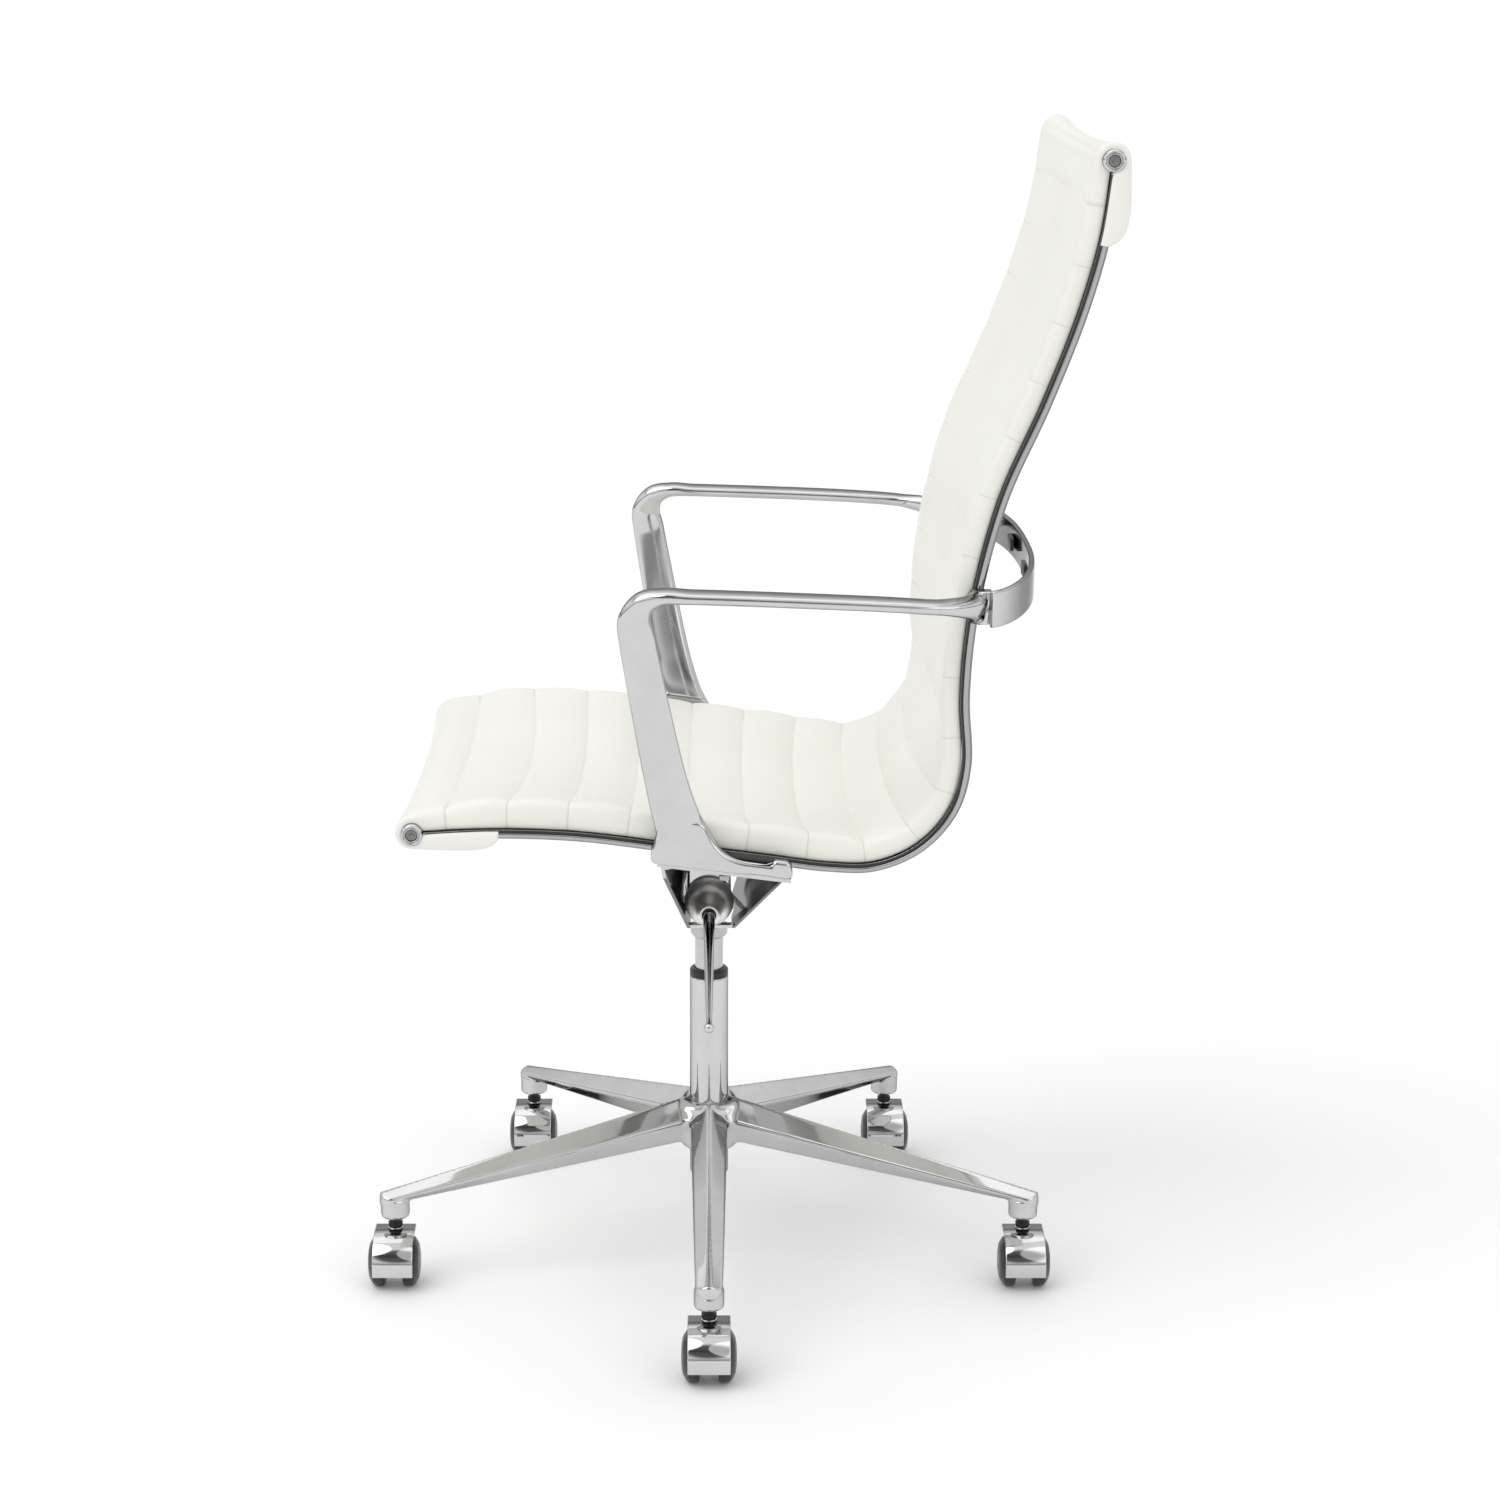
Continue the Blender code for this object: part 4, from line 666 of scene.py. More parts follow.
def puff(obj, pins, most):
    """Cloth simulation with pressure: the ribs swell between their seams, and the result is kept, within a limit."""
    scene = bpy.context.scene
    before = np.empty(len(obj.data.vertices) * 3, np.float32)
    obj.data.vertices.foreach_get("co", before)
    group = obj.vertex_groups.new(name="pin")
    group.add([i for i, weight in enumerate(pins) if weight > 0], 1.0, "REPLACE")
    cloth = obj.modifiers.new("cloth", "CLOTH")
    settings = cloth.settings
    settings.quality = 5
    settings.mass = 0.35
    settings.tension_stiffness = 28
    settings.compression_stiffness = 12
    settings.shear_stiffness = 8
    settings.bending_stiffness = 0.8
    settings.vertex_group_mass = "pin"
    settings.pin_stiffness = 1.0
    settings.use_pressure = True
    settings.uniform_pressure_force = PUFF_PRESSURE
    settings.effector_weights.gravity = 0.0
    cloth.collision_settings.use_collision = False
    cloth.point_cache.frame_start = 1
    cloth.point_cache.frame_end = PUFF_FRAMES
    for number in range(1, PUFF_FRAMES + 1):
        scene.frame_set(number)
    evaluated = obj.evaluated_get(bpy.context.evaluated_depsgraph_get())
    after = np.empty_like(before)
    evaluated.data.vertices.foreach_get("co", after)
    obj.modifiers.remove(cloth)
    obj.vertex_groups.remove(group)
    scene.frame_set(1)
    move = (after - before).reshape(-1, 3)
    size = np.linalg.norm(move, axis=1, keepdims=True)
    move *= np.minimum(1.0, most / np.maximum(size, 1e-9))
    obj.data.vertices.foreach_set("co", (before.reshape(-1, 3) + move).ravel())
    obj.data.update()


def make_sling():
    points, faces, painted_seam_shades, pins = build_sling()
    sling = piece("leather_sling", points, faces, "leather", "seat", ("sling_upholstery",), sharp=75)
    puff(sling, pins, PUFF_LIMIT)
    # Stores the painted seam shade per point, for the leather material to darken the seams.
    attribute = sling.data.attributes.new("painted_seam_shade", "FLOAT", "POINT")
    attribute.data.foreach_set("value", painted_seam_shades.astype(np.float32))
    subdivide = sling.modifiers.new("subdivide", "SUBSURF")
    subdivide.levels = subdivide.render_levels = 1


# ---------------------------------------------------------------- rails and their slots

RAIL_TOP = 0.0005
RAIL_UNDER = -0.0085
LIP_LOW = -0.0056
LIP_HIGH = -0.0019
LIP_IN = 0.0045
RAIL_GAP = 0.0105
STRIP_GAP = 0.012
STRIP_IN = SLING_HALF - 0.004
CAP_R = 0.0102
CAP_IN = SLING_HALF + 0.0003
CAP_OUT = CAP_IN + 0.0083


def follow_rail(sign, section, gap, count):
    """(points, faces) of a section of (x, height above the curve) carried along the rail curve."""
    rings = []
    for run in np.linspace(gap, RAIL.length - gap, count):
        point, _, normal = RAIL.at(run)
        rings.append([(sign * x, *(point + normal * n)) for x, n in section])
    return loft(rings)


def make_rails():
    profile = [(RAIL_IN, RAIL_TOP), (RAIL_IN, RAIL_UNDER), (RAIL_OUT - 0.0070, RAIL_UNDER), (RAIL_OUT, LIP_LOW),
               (RAIL_OUT, LIP_HIGH), (RAIL_OUT - LIP_IN, LIP_HIGH), (RAIL_OUT - LIP_IN, RAIL_TOP)]
    section = softened([profile[-1], *profile, profile[0]], 0.0012, 4)[1:-1]
    strip = [(STRIP_IN, -0.0004), (RAIL_OUT - 0.0048, -0.0004), (RAIL_OUT - 0.0044, -0.0018),
             (RAIL_OUT - 0.0012, -0.0018), (RAIL_OUT - 0.0014, -0.0009), (RAIL_OUT - 0.0040, -0.0003),
             (RAIL_OUT - 0.0054, 0.0006), (STRIP_IN, 0.0006)]
    for side, sign in SIDES:
        # The rails take the darker, painted-shade copy of the chrome.
        piece(f"chromed_rail_{side}", *follow_rail(sign, section, RAIL_GAP, 240), "rail_chrome", "seat",
              (f"side_rail_{side}",), slot="chrome", sharp=60)
        piece(f"edge_strip_{side}", *follow_rail(sign, strip, STRIP_GAP, 200), "black_plastic", "seat", (),
              sharp=40)


def make_end_caps():
    """Each cap is a hollowed ring with a bolt's head in it. The profiles hold (radius, depth below its face)."""
    ring = [(0.0, CAP_OUT - CAP_IN + 0.010), (CAP_R, CAP_OUT - CAP_IN + 0.010), (CAP_R, 0.0022), (0.0088, 0.0),
            (0.0076, 0.0002),
            (0.0072, 0.0016), (0.0066, 0.0018), (0.0062, 0.0008), (0.0056, 0.0010), (0.0053, 0.0034), (0.0,
                                                                                                       0.0034)]
    disc = [(0.0, 0.0040), (0.0052, 0.0040), (0.0052, 0.0024), (0.0046, 0.0021), (0.0024, 0.0020),
            (0.0018, 0.0027),
            (0.0009, 0.0033), (0.0, 0.0034)]
    for end, run in (("front", 0.0), ("top", RAIL.length)):
        centre = (0, *RAIL.point(run))
        for side, sign in SIDES:
            lathe(f"cap_ring_{end}_{side}", [(r, sign * (CAP_OUT - x)) for r, x in ring], 0.0009, "chrome",
                  "seat",
                  f"end_cap_{end}_{side}", "X", centre, 48, 3, sharp=70)
            lathe(f"cap_disc_{end}_{side}", [(r, sign * (CAP_OUT - x)) for r, x in disc], 0.0005, "cap_steel",
                  "seat",
                  None, "X", centre, 40, 3, slot="satin_steel", sharp=70)


# ---------------------------------------------------------------- armrests, brace and seat support

SUPPORT_FRONT_Y = -0.047
SUPPORT_BACK_Y = 0.074
UNDER_RAIL = 0.0135
ARM_OUT = 0.0455
ARM_UP = 0.2585
FOOT_VOXEL = 0.0012
SLOT_Y = (0.0190, 0.0600)
SLOT_SECTION = ((0.0003, 0.0), (0.0085, 0.0), (0.0085, 0.0030), (0.0075, 0.0040), (0.0040, 0.0056),
                (0.0003, 0.0060))
BRACE_END = RAIL_OUT + 0.0165
BRACE_BOW = 0.052
BRACE_THICK = 0.0055
BRACE_HALF = 0.0165
BRACE_STEPS = 90


def support_height(y):
    """Height of the seat support's top plate at this Y."""
    ends = [RAIL.point(RAIL.run_at(y=SUPPORT_FRONT_Y))[1], RAIL.point(RAIL.run_at(y=SUPPORT_BACK_Y))[1]]
    share = (y - SUPPORT_FRONT_Y) / (SUPPORT_BACK_Y - SUPPORT_FRONT_Y)
    return ends[0] + (ends[1] - ends[0]) * share - UNDER_RAIL


def rear_bolt():
    point = RAIL.point(RAIL.run_at(z=SEAT_Z + ARM_UP - 0.0175))
    return point[0] + RAIL_D / 2, point[1]


def arm_route():
    x, z = RAIL_OUT, SEAT_Z
    bolt_y, bolt_z = rear_bolt()
    foot_z = support_height(-0.02) + 0.015
    bar = z + ARM_UP
    return [
        ((x + 0.0078, -0.0150, foot_z - 0.010), 0.0066, 0.0270), ((x + 0.0105, -0.0285, z + 0.0460), 0.0056,
                                                                  0.0212),
        ((x + 0.0185, -0.0385, z + 0.0846), 0.0050, 0.0190), ((x + 0.0335, -0.0520, z + 0.1546), 0.0050,
                                                              0.0172),
        ((x + 0.0435, -0.0630, bar - 0.0420), 0.0058, 0.0160), ((x + ARM_OUT, -0.0655, bar - 0.0225), 0.0085,
                                                                0.0148),
        ((x + ARM_OUT, -0.0580, bar - 0.0075), 0.0130, 0.0110), ((x + ARM_OUT, -0.0420, bar - 0.0010), 0.0160,
                                                                 0.0068),
        ((x + ARM_OUT, -0.0150, bar - 0.0012), 0.0170, 0.0055), ((x + ARM_OUT, 0.1500, bar - 0.0075), 0.0170,
                                                                 0.0055),
        ((x + ARM_OUT - 0.0040, bolt_y - 0.0360, bolt_z + 0.0062), 0.0150, 0.0058),
        ((x + ARM_OUT - 0.0190, bolt_y - 0.0090, bolt_z + 0.0030), 0.0110, 0.0095),
        ((x + 0.0100, bolt_y - 0.0010, bolt_z), 0.0085, 0.0150), ((x + 0.0003, bolt_y + 0.0005, bolt_z), 0.0095,
                                                                  0.0155),
    ]


class Sweep:
    """A bar of changing superellipse section along a route, as a field."""

    def __init__(self, route, per_span, power):
        self.power = power
        self.centres = np.array([tuple(p) for p in spline([r[0] for r in route], per_span)])
        spots = np.arange(len(self.centres)) / per_span
        keys = np.arange(len(route))
        self.widths = np.stack([np.interp(spots, keys, [r[1 + i] for r in route]) for i in (0, 1)], axis=1)
        ahead = np.gradient(self.centres, axis=0)
        ahead /= np.linalg.norm(ahead, axis=1, keepdims=True)
        ahead[-1] = (-1, 0, 0)
        lateral = np.array([1.0, 0, 0]) - ahead * ahead[:, :1]
        short = np.linalg.norm(lateral, axis=1) < 0.35
        lateral[short] = np.array([0, 1.0, 0]) - ahead[short] * ahead[short, 1:2]
        self.u = lateral / np.linalg.norm(lateral, axis=1, keepdims=True)
        self.v = np.cross(ahead, self.u)
        self.ahead = ahead

    def rings(self, sign, count=28):
        made = []
        for c, (w, h), u, v in zip(self.centres, self.widths, self.u, self.v):
            ring = []
            for i in range(count):
                turn = 2 * math.pi * (i + 0.5) / count
                a = w * math.copysign(abs(math.cos(turn)) ** (2 / self.power), math.cos(turn))
                b = h * math.copysign(abs(math.sin(turn)) ** (2 / self.power), math.sin(turn))
                p = c + u * a + v * b
                ring.append((sign * p[0], p[1], p[2]))
            made.append(ring)
        return made


def make_arms():
    sweep = Sweep(arm_route(), 10, 3.0)
    front, back = SUPPORT_FRONT_Y, SUPPORT_BACK_Y
    slope = (support_height(back) - support_height(front)) / (back - front)
    for side, sign in SIDES:
        piece(f"arm_loop_{side}", *loft(sweep.rings(sign)), "chromed_casting", "seat", (f"armrest_{side}",),
              sharp=80)

        def foot_field(p):
            """A flat block along the support, with the blade's foot growing out of it through a wide fillet."""
            x = p[:, 0] * sign - RAIL_OUT
            y = p[:, 1]
            z = p[:, 2] - support_height(0.0) - slope * y
            block = rounded_rectangle(y, z, (0.0135, 0.0047), (0.0610, 0.0058), 0.0055)
            boss = rounded_rectangle(y, z, (0.0655, 0.0077), (0.0090, 0.0078), 0.0055)
            climb = np.clip(z / 0.060, -0.2, 1.2)
            wedge = np.abs(y + 0.0150 + 0.0160 * climb) - (0.0290 - 0.0100 * climb)
            wedge = smooth_max(wedge, z - 0.043, 0.006)
            plan = smooth_min(smooth_min(block, boss, 0.004), wedge, 0.026)
            wall = np.abs(x - 0.0080 - 0.0022 * climb) - (0.0075 - 0.0024 * climb)
            body = smooth_max(plan, wall, 0.0045)
            body = smooth_max(body, -z - 0.0012, 0.0012)
            return smooth_max(body, 0.0004 - x, 0.0006)

        low = np.array([RAIL_OUT - 0.001, front - 0.004, support_height(back) - 0.008])
        high = np.array([RAIL_OUT + 0.0180, back + 0.004, support_height(front) + 0.045])
        corners = [(sign * x, y, z) for x in (low[0], high[0]) for y in (low[1], high[1]) for z in (low[2],
                                                                                                    high[2])]
        sides = [(0, 1, 3, 2), (4, 6, 7, 5), (0, 4, 5, 1), (2, 3, 7, 6), (0, 2, 6, 4), (1, 5, 7, 3)]
        box = bpy.data.meshes.new("foot_block")
        box.from_pydata([tuple(c) for c in to_world(corners)], [], sides)
        cast(f"arm_foot_{side}", box, foot_field, FOOT_VOXEL, "chromed_casting", "seat", ())
        # Painted shade: a black strip on the foot's top stands for the shadow in its slot.
        rings = [[(sign * (RAIL_OUT + x), y, support_height(y) + 0.0090 + z) for x, z in SLOT_SECTION]
                 for y in np.linspace(*SLOT_Y, 9)]
        piece(f"slot_shade_strip_{side}", *loft(rings), "black_plastic", "seat", (), sharp=40)


def brace_y(x):
    share = min(1.0, abs(x) / BRACE_END)
    return rear_bolt()[0] + 0.0105 + BRACE_BOW * (1 - share ** 2.6) ** 0.72


def make_brace():
    bolt_y, mid_z = rear_bolt()
    across = [-BRACE_END * math.cos(math.pi * i / BRACE_STEPS) for i in range(BRACE_STEPS + 1)]
    spots = np.array([(x, brace_y(x)) for x in across])
    profile = [(0.0, 0.0), (0.0, BRACE_HALF), (BRACE_THICK, BRACE_HALF), (BRACE_THICK, -BRACE_HALF),
               (0.0, -BRACE_HALF), (0.0, 0.0)]
    section = softened(profile, 0.0022, 5)[1:-1]
    ahead = np.gradient(spots, axis=0)
    ahead /= np.linalg.norm(ahead, axis=1, keepdims=True)
    rings = []
    for spot, along in zip(spots, ahead):
        out = np.array([-along[1], along[0]])
        rings.append([(*(spot + out * thick), mid_z + up) for thick, up in section])
    piece("back_brace_band", *loft(rings), "chromed_casting", "seat", ("back_brace",), sharp=60)
    # A small lug at each end of the band, flat against the rail.
    lug = [(0.0, 0.0150), (0.0115, 0.0150), (0.0125, 0.0140), (0.0125, -0.0140), (0.0115, -0.0150),
           (0.0, -0.0150)]
    middle_y = 0.006
    buffer_turns = [2 * math.pi * (i + 0.5) / 24 for i in range(24)]
    for side, sign in SIDES:
        rings = []
        for x, shrink in ((0.0006, 0.0008), (0.0014, 0.0), (0.0150, 0.0), (0.0162, 0.0012)):
            rings.append([(sign * (RAIL_OUT + x), bolt_y + y + math.copysign(shrink, middle_y - y),
                           mid_z + z - math.copysign(shrink, z)) for y, z in lug])
        piece(f"brace_lug_{side}", *loft(rings), "chromed_casting", "seat", (), sharp=40)
        low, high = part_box(f"brace_pad_{side}")
        centre = np.array((low + high) / 2) - ORIGIN
        half = np.array((high - low) / 2)
        outline = [[math.copysign(abs(v) ** 0.35, v) for v in (math.cos(t), math.sin(t))] for t in buffer_turns]
        rings = [[(centre[0] + half[0] * scale * a, centre[1] + half[1] * depth,
                   centre[2] + half[2] * scale * b)
                  for a, b in outline] for scale, depth in ((0.90, -1.0), (0.97, -0.85), (1.0, -0.5),
                                                            (1.0, 1.0))]
        piece(f"brace_buffer_{side}", *loft(rings), "black_plastic", "seat", (f"brace_pad_{side}",), sharp=50)


def bevelled(node, mat, width=0.0007, segments=3, angle=28):
    """A CAD node kept as it is, with softened edges and its finished material."""
    obj = NODES[node]
    obj.data.materials.clear()
    obj.data.materials.append(MATS[mat])
    bevel = obj.modifiers.new("soft edges", "BEVEL")
    bevel.width = width
    bevel.segments = segments
    bevel.limit_method = "ANGLE"
    bevel.angle_limit = math.radians(angle)
    bevel.harden_normals = True
    return obj


# ---------------------------------------------------------------- column and tilt mechanism

BUSHING_TRIM = 0.0055
BELL_START = 0.0635
BELL_NOSE = 0.114
BELL_BORE = 0.0108
BELL_DEPTH = 0.0144
# The bell's outside: (radius, distance from its start), then (radius, distance before its nose).
BELL = ((0.0228, 0.0), (0.0238, 0.0015), (0.0235, 0.0060), (0.0221, 0.0105), (0.0193, 0.0150), (0.0156, 0.0182),
        (0.0134, 0.0212), (0.0128, 0.0250))
BELL_TIP = ((0.0125, 0.0200), (0.0121, 0.0120), (0.0112, 0.0060), (0.0098, 0.0020), (0.0088, 0.0))
LEVER_ROUTE = ((0.0, 0.0), (0.1145, 0.0), (0.1235, -0.0003), (0.1395, -0.0026), (0.1775, -0.0165),
               (0.270, -0.0570))
LEVER_RADII = ((0.0, 0.0028), (0.1145, 0.0028), (0.1200, 0.0056), (0.1400, 0.0054), (0.200, 0.0043),
               (0.270, 0.0027))
BALL_R = 0.0047


def heights(node):
    """A CAD node's lowest and highest point above the floor."""
    low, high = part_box(node)
    return low.z - ORIGIN[2], high.z - ORIGIN[2]


def make_column():
    top = heights("column_tube")[1]
    inner = TUBE_R - 0.0038
    profile = [(0.0055, TUBE_Z), (TUBE_R, TUBE_Z), (TUBE_R, top), (inner, top), (inner, TUBE_Z + 0.003),
               (0.0055, TUBE_Z + 0.003)]
    lathe("chromed_tube", profile, 0.0008, "chrome", "base", "column_tube", segments=96, sharp=60)
    a, b = heights("column_bushing")
    b -= BUSHING_TRIM
    profile = [(0.0145, a), (0.0185, a), (0.0185, b - 0.0105), (0.0190, b - 0.0100), (0.0190, b - 0.0018),
               (0.0172, b), (0.0145, b)]
    lathe("guide_bushing", profile, 0.0007, "black_plastic", "base", "column_bushing")
    a, b = heights("gas_cylinder")
    profile = [(0.0, a), (0.0140, a), (0.0140, b - 0.0137), (0.0125, b), (0.0043, b), (0.0043, b - 0.007),
               (0.0, b - 0.007)]
    lathe("lift_cylinder", profile, 0.0006, "cylinder_steel", "column_upper", "gas_cylinder",
          slot="satin_steel")
    a, b = heights("column_collar")
    profile = [(0.0143, a), (0.0150, a), (0.0182, a + 0.0035), (0.0182, b), (0.0143, b)]
    lathe("grey_collar", profile, 0.0008, "grey_ring", "column_upper", "column_collar")


def make_mechanism():
    """The two pivot covers. The lever comes out of the left one's open nose, and the right one's nose is closed."""
    centre = (0, 0, PIVOT_Z)
    outer = [(r, BELL_START + x) for r, x in BELL] + [(r, BELL_NOSE - x) for r, x in BELL_TIP]
    smooth = [tuple(p) for p in spline(outer, 4)]
    back = BELL_NOSE - BELL_DEPTH
    open_nose = [*smooth, (0.0071, BELL_NOSE), (0.0071, back), (BELL_BORE, back), (BELL_BORE, BELL_START)]
    closed_nose = [(0.0, back), (BELL_BORE, back), (BELL_BORE, BELL_START), *smooth, (0.0, BELL_NOSE)]
    for (side, sign), profile in zip(SIDES, (open_nose, closed_nose)):
        # The covers take the brightened, painted-light copy of the satin steel.
        piece(f"pivot_bell_{side}", *turned([(r, sign * x) for r, x in profile], "X", centre, 72),
              "pivot_nickel",
              "column_upper", (f"pivot_cover_{side}",), slot="satin_steel", sharp=50)
    bush = [(0.0050, 0.1015), (0.0067, 0.1015), (0.0067, 0.1156), (0.0050, 0.1156)]
    lathe("lever_grommet", bush, 0.0005, "black_plastic", "column_upper", "lever_bush", "X", centre, 48)


def make_lever():
    line = np.array([tuple(p) for p in spline([(x, 0.0, PIVOT_Z + z) for x, z in LEVER_ROUTE], 14)])
    ahead = np.gradient(line, axis=0)
    ahead /= np.linalg.norm(ahead, axis=1, keepdims=True)
    radii = np.interp(line[:, 0], *zip(*LEVER_RADII))
    turns = np.linspace(0, 2 * math.pi, 24, endpoint=False)

    def ring(centre, along, radius):
        up = np.cross(along, (0, 1, 0))
        return [tuple(centre + radius * (np.array([0, 1, 0]) * math.cos(t) + up * math.sin(t))) for t in turns]

    rings = [ring(*spot) for spot in zip(line, ahead, radii)]
    for degrees in range(-52, 89, 10):
        angle = math.radians(degrees)
        spot = line[-1] + ahead[-1] * BALL_R * (0.85 + math.sin(angle))
        rings.append(ring(spot, ahead[-1], BALL_R * math.cos(angle)))
    piece("ball_lever", *loft(rings), "chrome", "lever", ("release_lever",), sharp=60)


# ---------------------------------------------------------------- star base

# A leg's half section below its ridge, in half widths and depths: its widest point, and its underside's edge.
LEG_WIDEST = (1.0, -0.44)
LEG_FOOT = (0.34, -0.97)
LEG_HALF = (0.0200, 0.0148)
LEG_DEPTH = (0.0500, 0.0150)
RIDGE_LIFT = 0.0006
STAR_VOXEL = 0.0019
HUB_Z = 0.1007
HUB_TOP = 0.1467
TIP_Z = 0.0627
TIP_H = 0.028


def leg_field(p, turn):
    """One leg: two facets meet in a ridge on top, and two undercut faces meet the flat underside."""
    c, s = math.cos(turn), math.sin(turn)
    reach = p[:, 0] * c + p[:, 1] * s
    side = np.abs(-p[:, 0] * s + p[:, 1] * c)
    share = np.clip(reach / BASE_R, -0.1, 1.1)
    half = LEG_HALF[0] + (LEG_HALF[1] - LEG_HALF[0]) * share
    depth = LEG_DEPTH[0] + (LEG_DEPTH[1] - LEG_DEPTH[0]) * share
    top = HUB_TOP + 0.0125 + (TIP_Z + TIP_H + 0.0010 - HUB_TOP - 0.0125) * share
    # Distances to the facets, in metres, from the section's own slopes at this reach.
    n1 = np.stack([-LEG_WIDEST[1] * depth, LEG_WIDEST[0] * half], axis=1)
    n1 /= np.linalg.norm(n1, axis=1, keepdims=True)
    d1 = (side * n1[:, 0] + (p[:, 2] - top) * n1[:, 1])
    ex, ez = (LEG_WIDEST[0] - LEG_FOOT[0]) * half, (LEG_WIDEST[1] - LEG_FOOT[1]) * depth
    n2 = np.stack([ez, -ex], axis=1)
    n2 /= np.linalg.norm(n2, axis=1, keepdims=True)
    d2 = (side - LEG_WIDEST[0] * half) * n2[:, 0] + (p[:, 2] - top - LEG_WIDEST[1] * depth) * n2[:, 1]
    d3 = top + LEG_FOOT[1] * depth - p[:, 2]
    d = smooth_max(smooth_max(d1, d2, 0.0045), d3, 0.003)
    d = d + RIDGE_LIFT * np.exp(-(side / 0.0015) ** 2)
    end = np.hypot(np.maximum(reach - BASE_R, 0), side) - (half + 0.0002)
    d = smooth_max(d, end, 0.002)
    return smooth_max(d, -reach, 0.002)


def star_field(p):
    radius = np.linalg.norm(p[:, :2], axis=1)
    d = rod(p, (0, 0, 0), "Z", 0.0275, HUB_Z, HUB_TOP, 0.004)
    for turn in TURNS:
        d = smooth_min(d, leg_field(p, turn), 0.0085)
    for turn in TURNS:
        centre = (BASE_R * math.cos(turn), BASE_R * math.sin(turn), 0)
        tip = rod(p, centre, "Z", TIP_R, TIP_Z, TIP_Z + TIP_H - 0.0085, 0.003)
        d = smooth_min(d, tip, 0.003)
        bore = rod(p, centre, "Z", 0.0065, TIP_Z - 0.01, TIP_Z + 0.022, 0.0005)
        d = smooth_max(d, -bore, 0.0006)
    return smooth_max(d, TUBE_R + 0.0004 - radius, 0.0008)


def make_star():
    source = NODES["star_base"].data.copy()
    cast("star_casting", source, star_field, STAR_VOXEL, "chromed_casting", "base", ("star_base",))


# ---------------------------------------------------------------- casters

SHELL = 0.0025
SHELF_X = -0.0060
WEB_HALF = 0.0055
WHEEL_BORE = 0.0035


def hood_arc(radius, start, end, steps):
    """Points on an arc about the wheels' axle, seen from the side."""
    angles = [math.radians(start + (end - start) * i / steps) for i in range(steps + 1)]
    return [(CASTER_TRAIL + radius * math.cos(a), WHEEL_R + radius * math.sin(a)) for a in angles]


def toward(outline, goal, y, share):
    """A ring at this Y whose points lie this share of the way from the outline to the goal."""
    return [(o[0] + (g[0] - o[0]) * share, y, o[1] + (g[1] - o[1]) * share) for o, g in zip(outline, goal)]


def hood_shape():
    """The hood, about the stem's axis: a rounded shell over both wheels, its shelf, a web and the stem's boss."""
    top = WHEEL_R + HOOD_R
    outline = hood_arc(HOOD_R, HOOD_FRONT, 90, 30) + [(SHELF_X, top), (SHELF_X - 0.0005, top - 0.0006)]
    outline += [(SHELF_X - 0.0005, top - SHELL), (SHELF_X + 0.0005, top - SHELL)]
    outline += hood_arc(HOOD_R - SHELL, 90, HOOD_FRONT, 30)
    mid = hood_arc(HOOD_R - 0.00125, HOOD_FRONT, 90, 30) + [(SHELF_X, top - 0.0012),
                                                            (SHELF_X - 0.0002, top - 0.0013)]
    mid += [(SHELF_X - 0.0002, top - 0.0014), (SHELF_X + 0.0005, top - 0.0014)]
    mid += hood_arc(HOOD_R - 0.00130, 90, HOOD_FRONT, 30)
    half = HOOD_W / 2
    shell = loft([toward(outline, mid, y, share) for y, share in (
        (-half, 0.45), (-half + 0.0003, 0.18), (-half + 0.0009, 0.0),
        (half - 0.0009, 0.0), (half - 0.0003, 0.18), (half, 0.45))])
    web = hood_arc(HOOD_R - SHELL + 0.0008, 17, 87, 12) + [(-0.0050, top - 0.0014), (-0.0050, 0.0340)]
    web += [(CASTER_TRAIL + x, WHEEL_R + z) for x, z in (
        (-0.0070, -0.0085), (-0.0035, -0.0098), (0.0, -0.0102), (0.0040, -0.0092), (0.0080, -0.0060))]
    middle = [np.mean(web, axis=0)] * len(web)
    web_part = loft([toward(web, middle, y, share) for y, share in (
        (-WEB_HALF, 0.04), (-WEB_HALF + 0.0006, 0.0), (WEB_HALF - 0.0006, 0.0), (WEB_HALF, 0.04))])
    boss = [(0.0, 0.0310), (0.0078, 0.0310), (0.0078, top + 0.0002), (0.0070, top + 0.0006),
            (0.0058, top + 0.0006),
            (0.0058, top - 0.002), (0.0, top - 0.002)]
    return merged([shell, web_part, turned(softened(boss, 0.0006), segments=40)])


def wheel_shape(sign):
    half = WHEEL_W / 2
    outline = [(WHEEL_BORE, -half), (WHEEL_R - 0.0040, -half), (WHEEL_R - 0.0014, -half + 0.0003),
               (WHEEL_R, -half + 0.0018), (WHEEL_R, half - 0.0072), (WHEEL_R - 0.0009, half - 0.0055),
               (WHEEL_R - 0.0030, half - 0.0040), (0.0170, half - 0.0016), (0.0100, half - 0.0004), (0.0, half)]
    profile = [(0.0, half - 0.0023), (WHEEL_BORE, half - 0.0023), *softened(outline, 0.0016, 4)]
    return turned([(r, sign * y) for r, y in profile], "Y", segments=64)


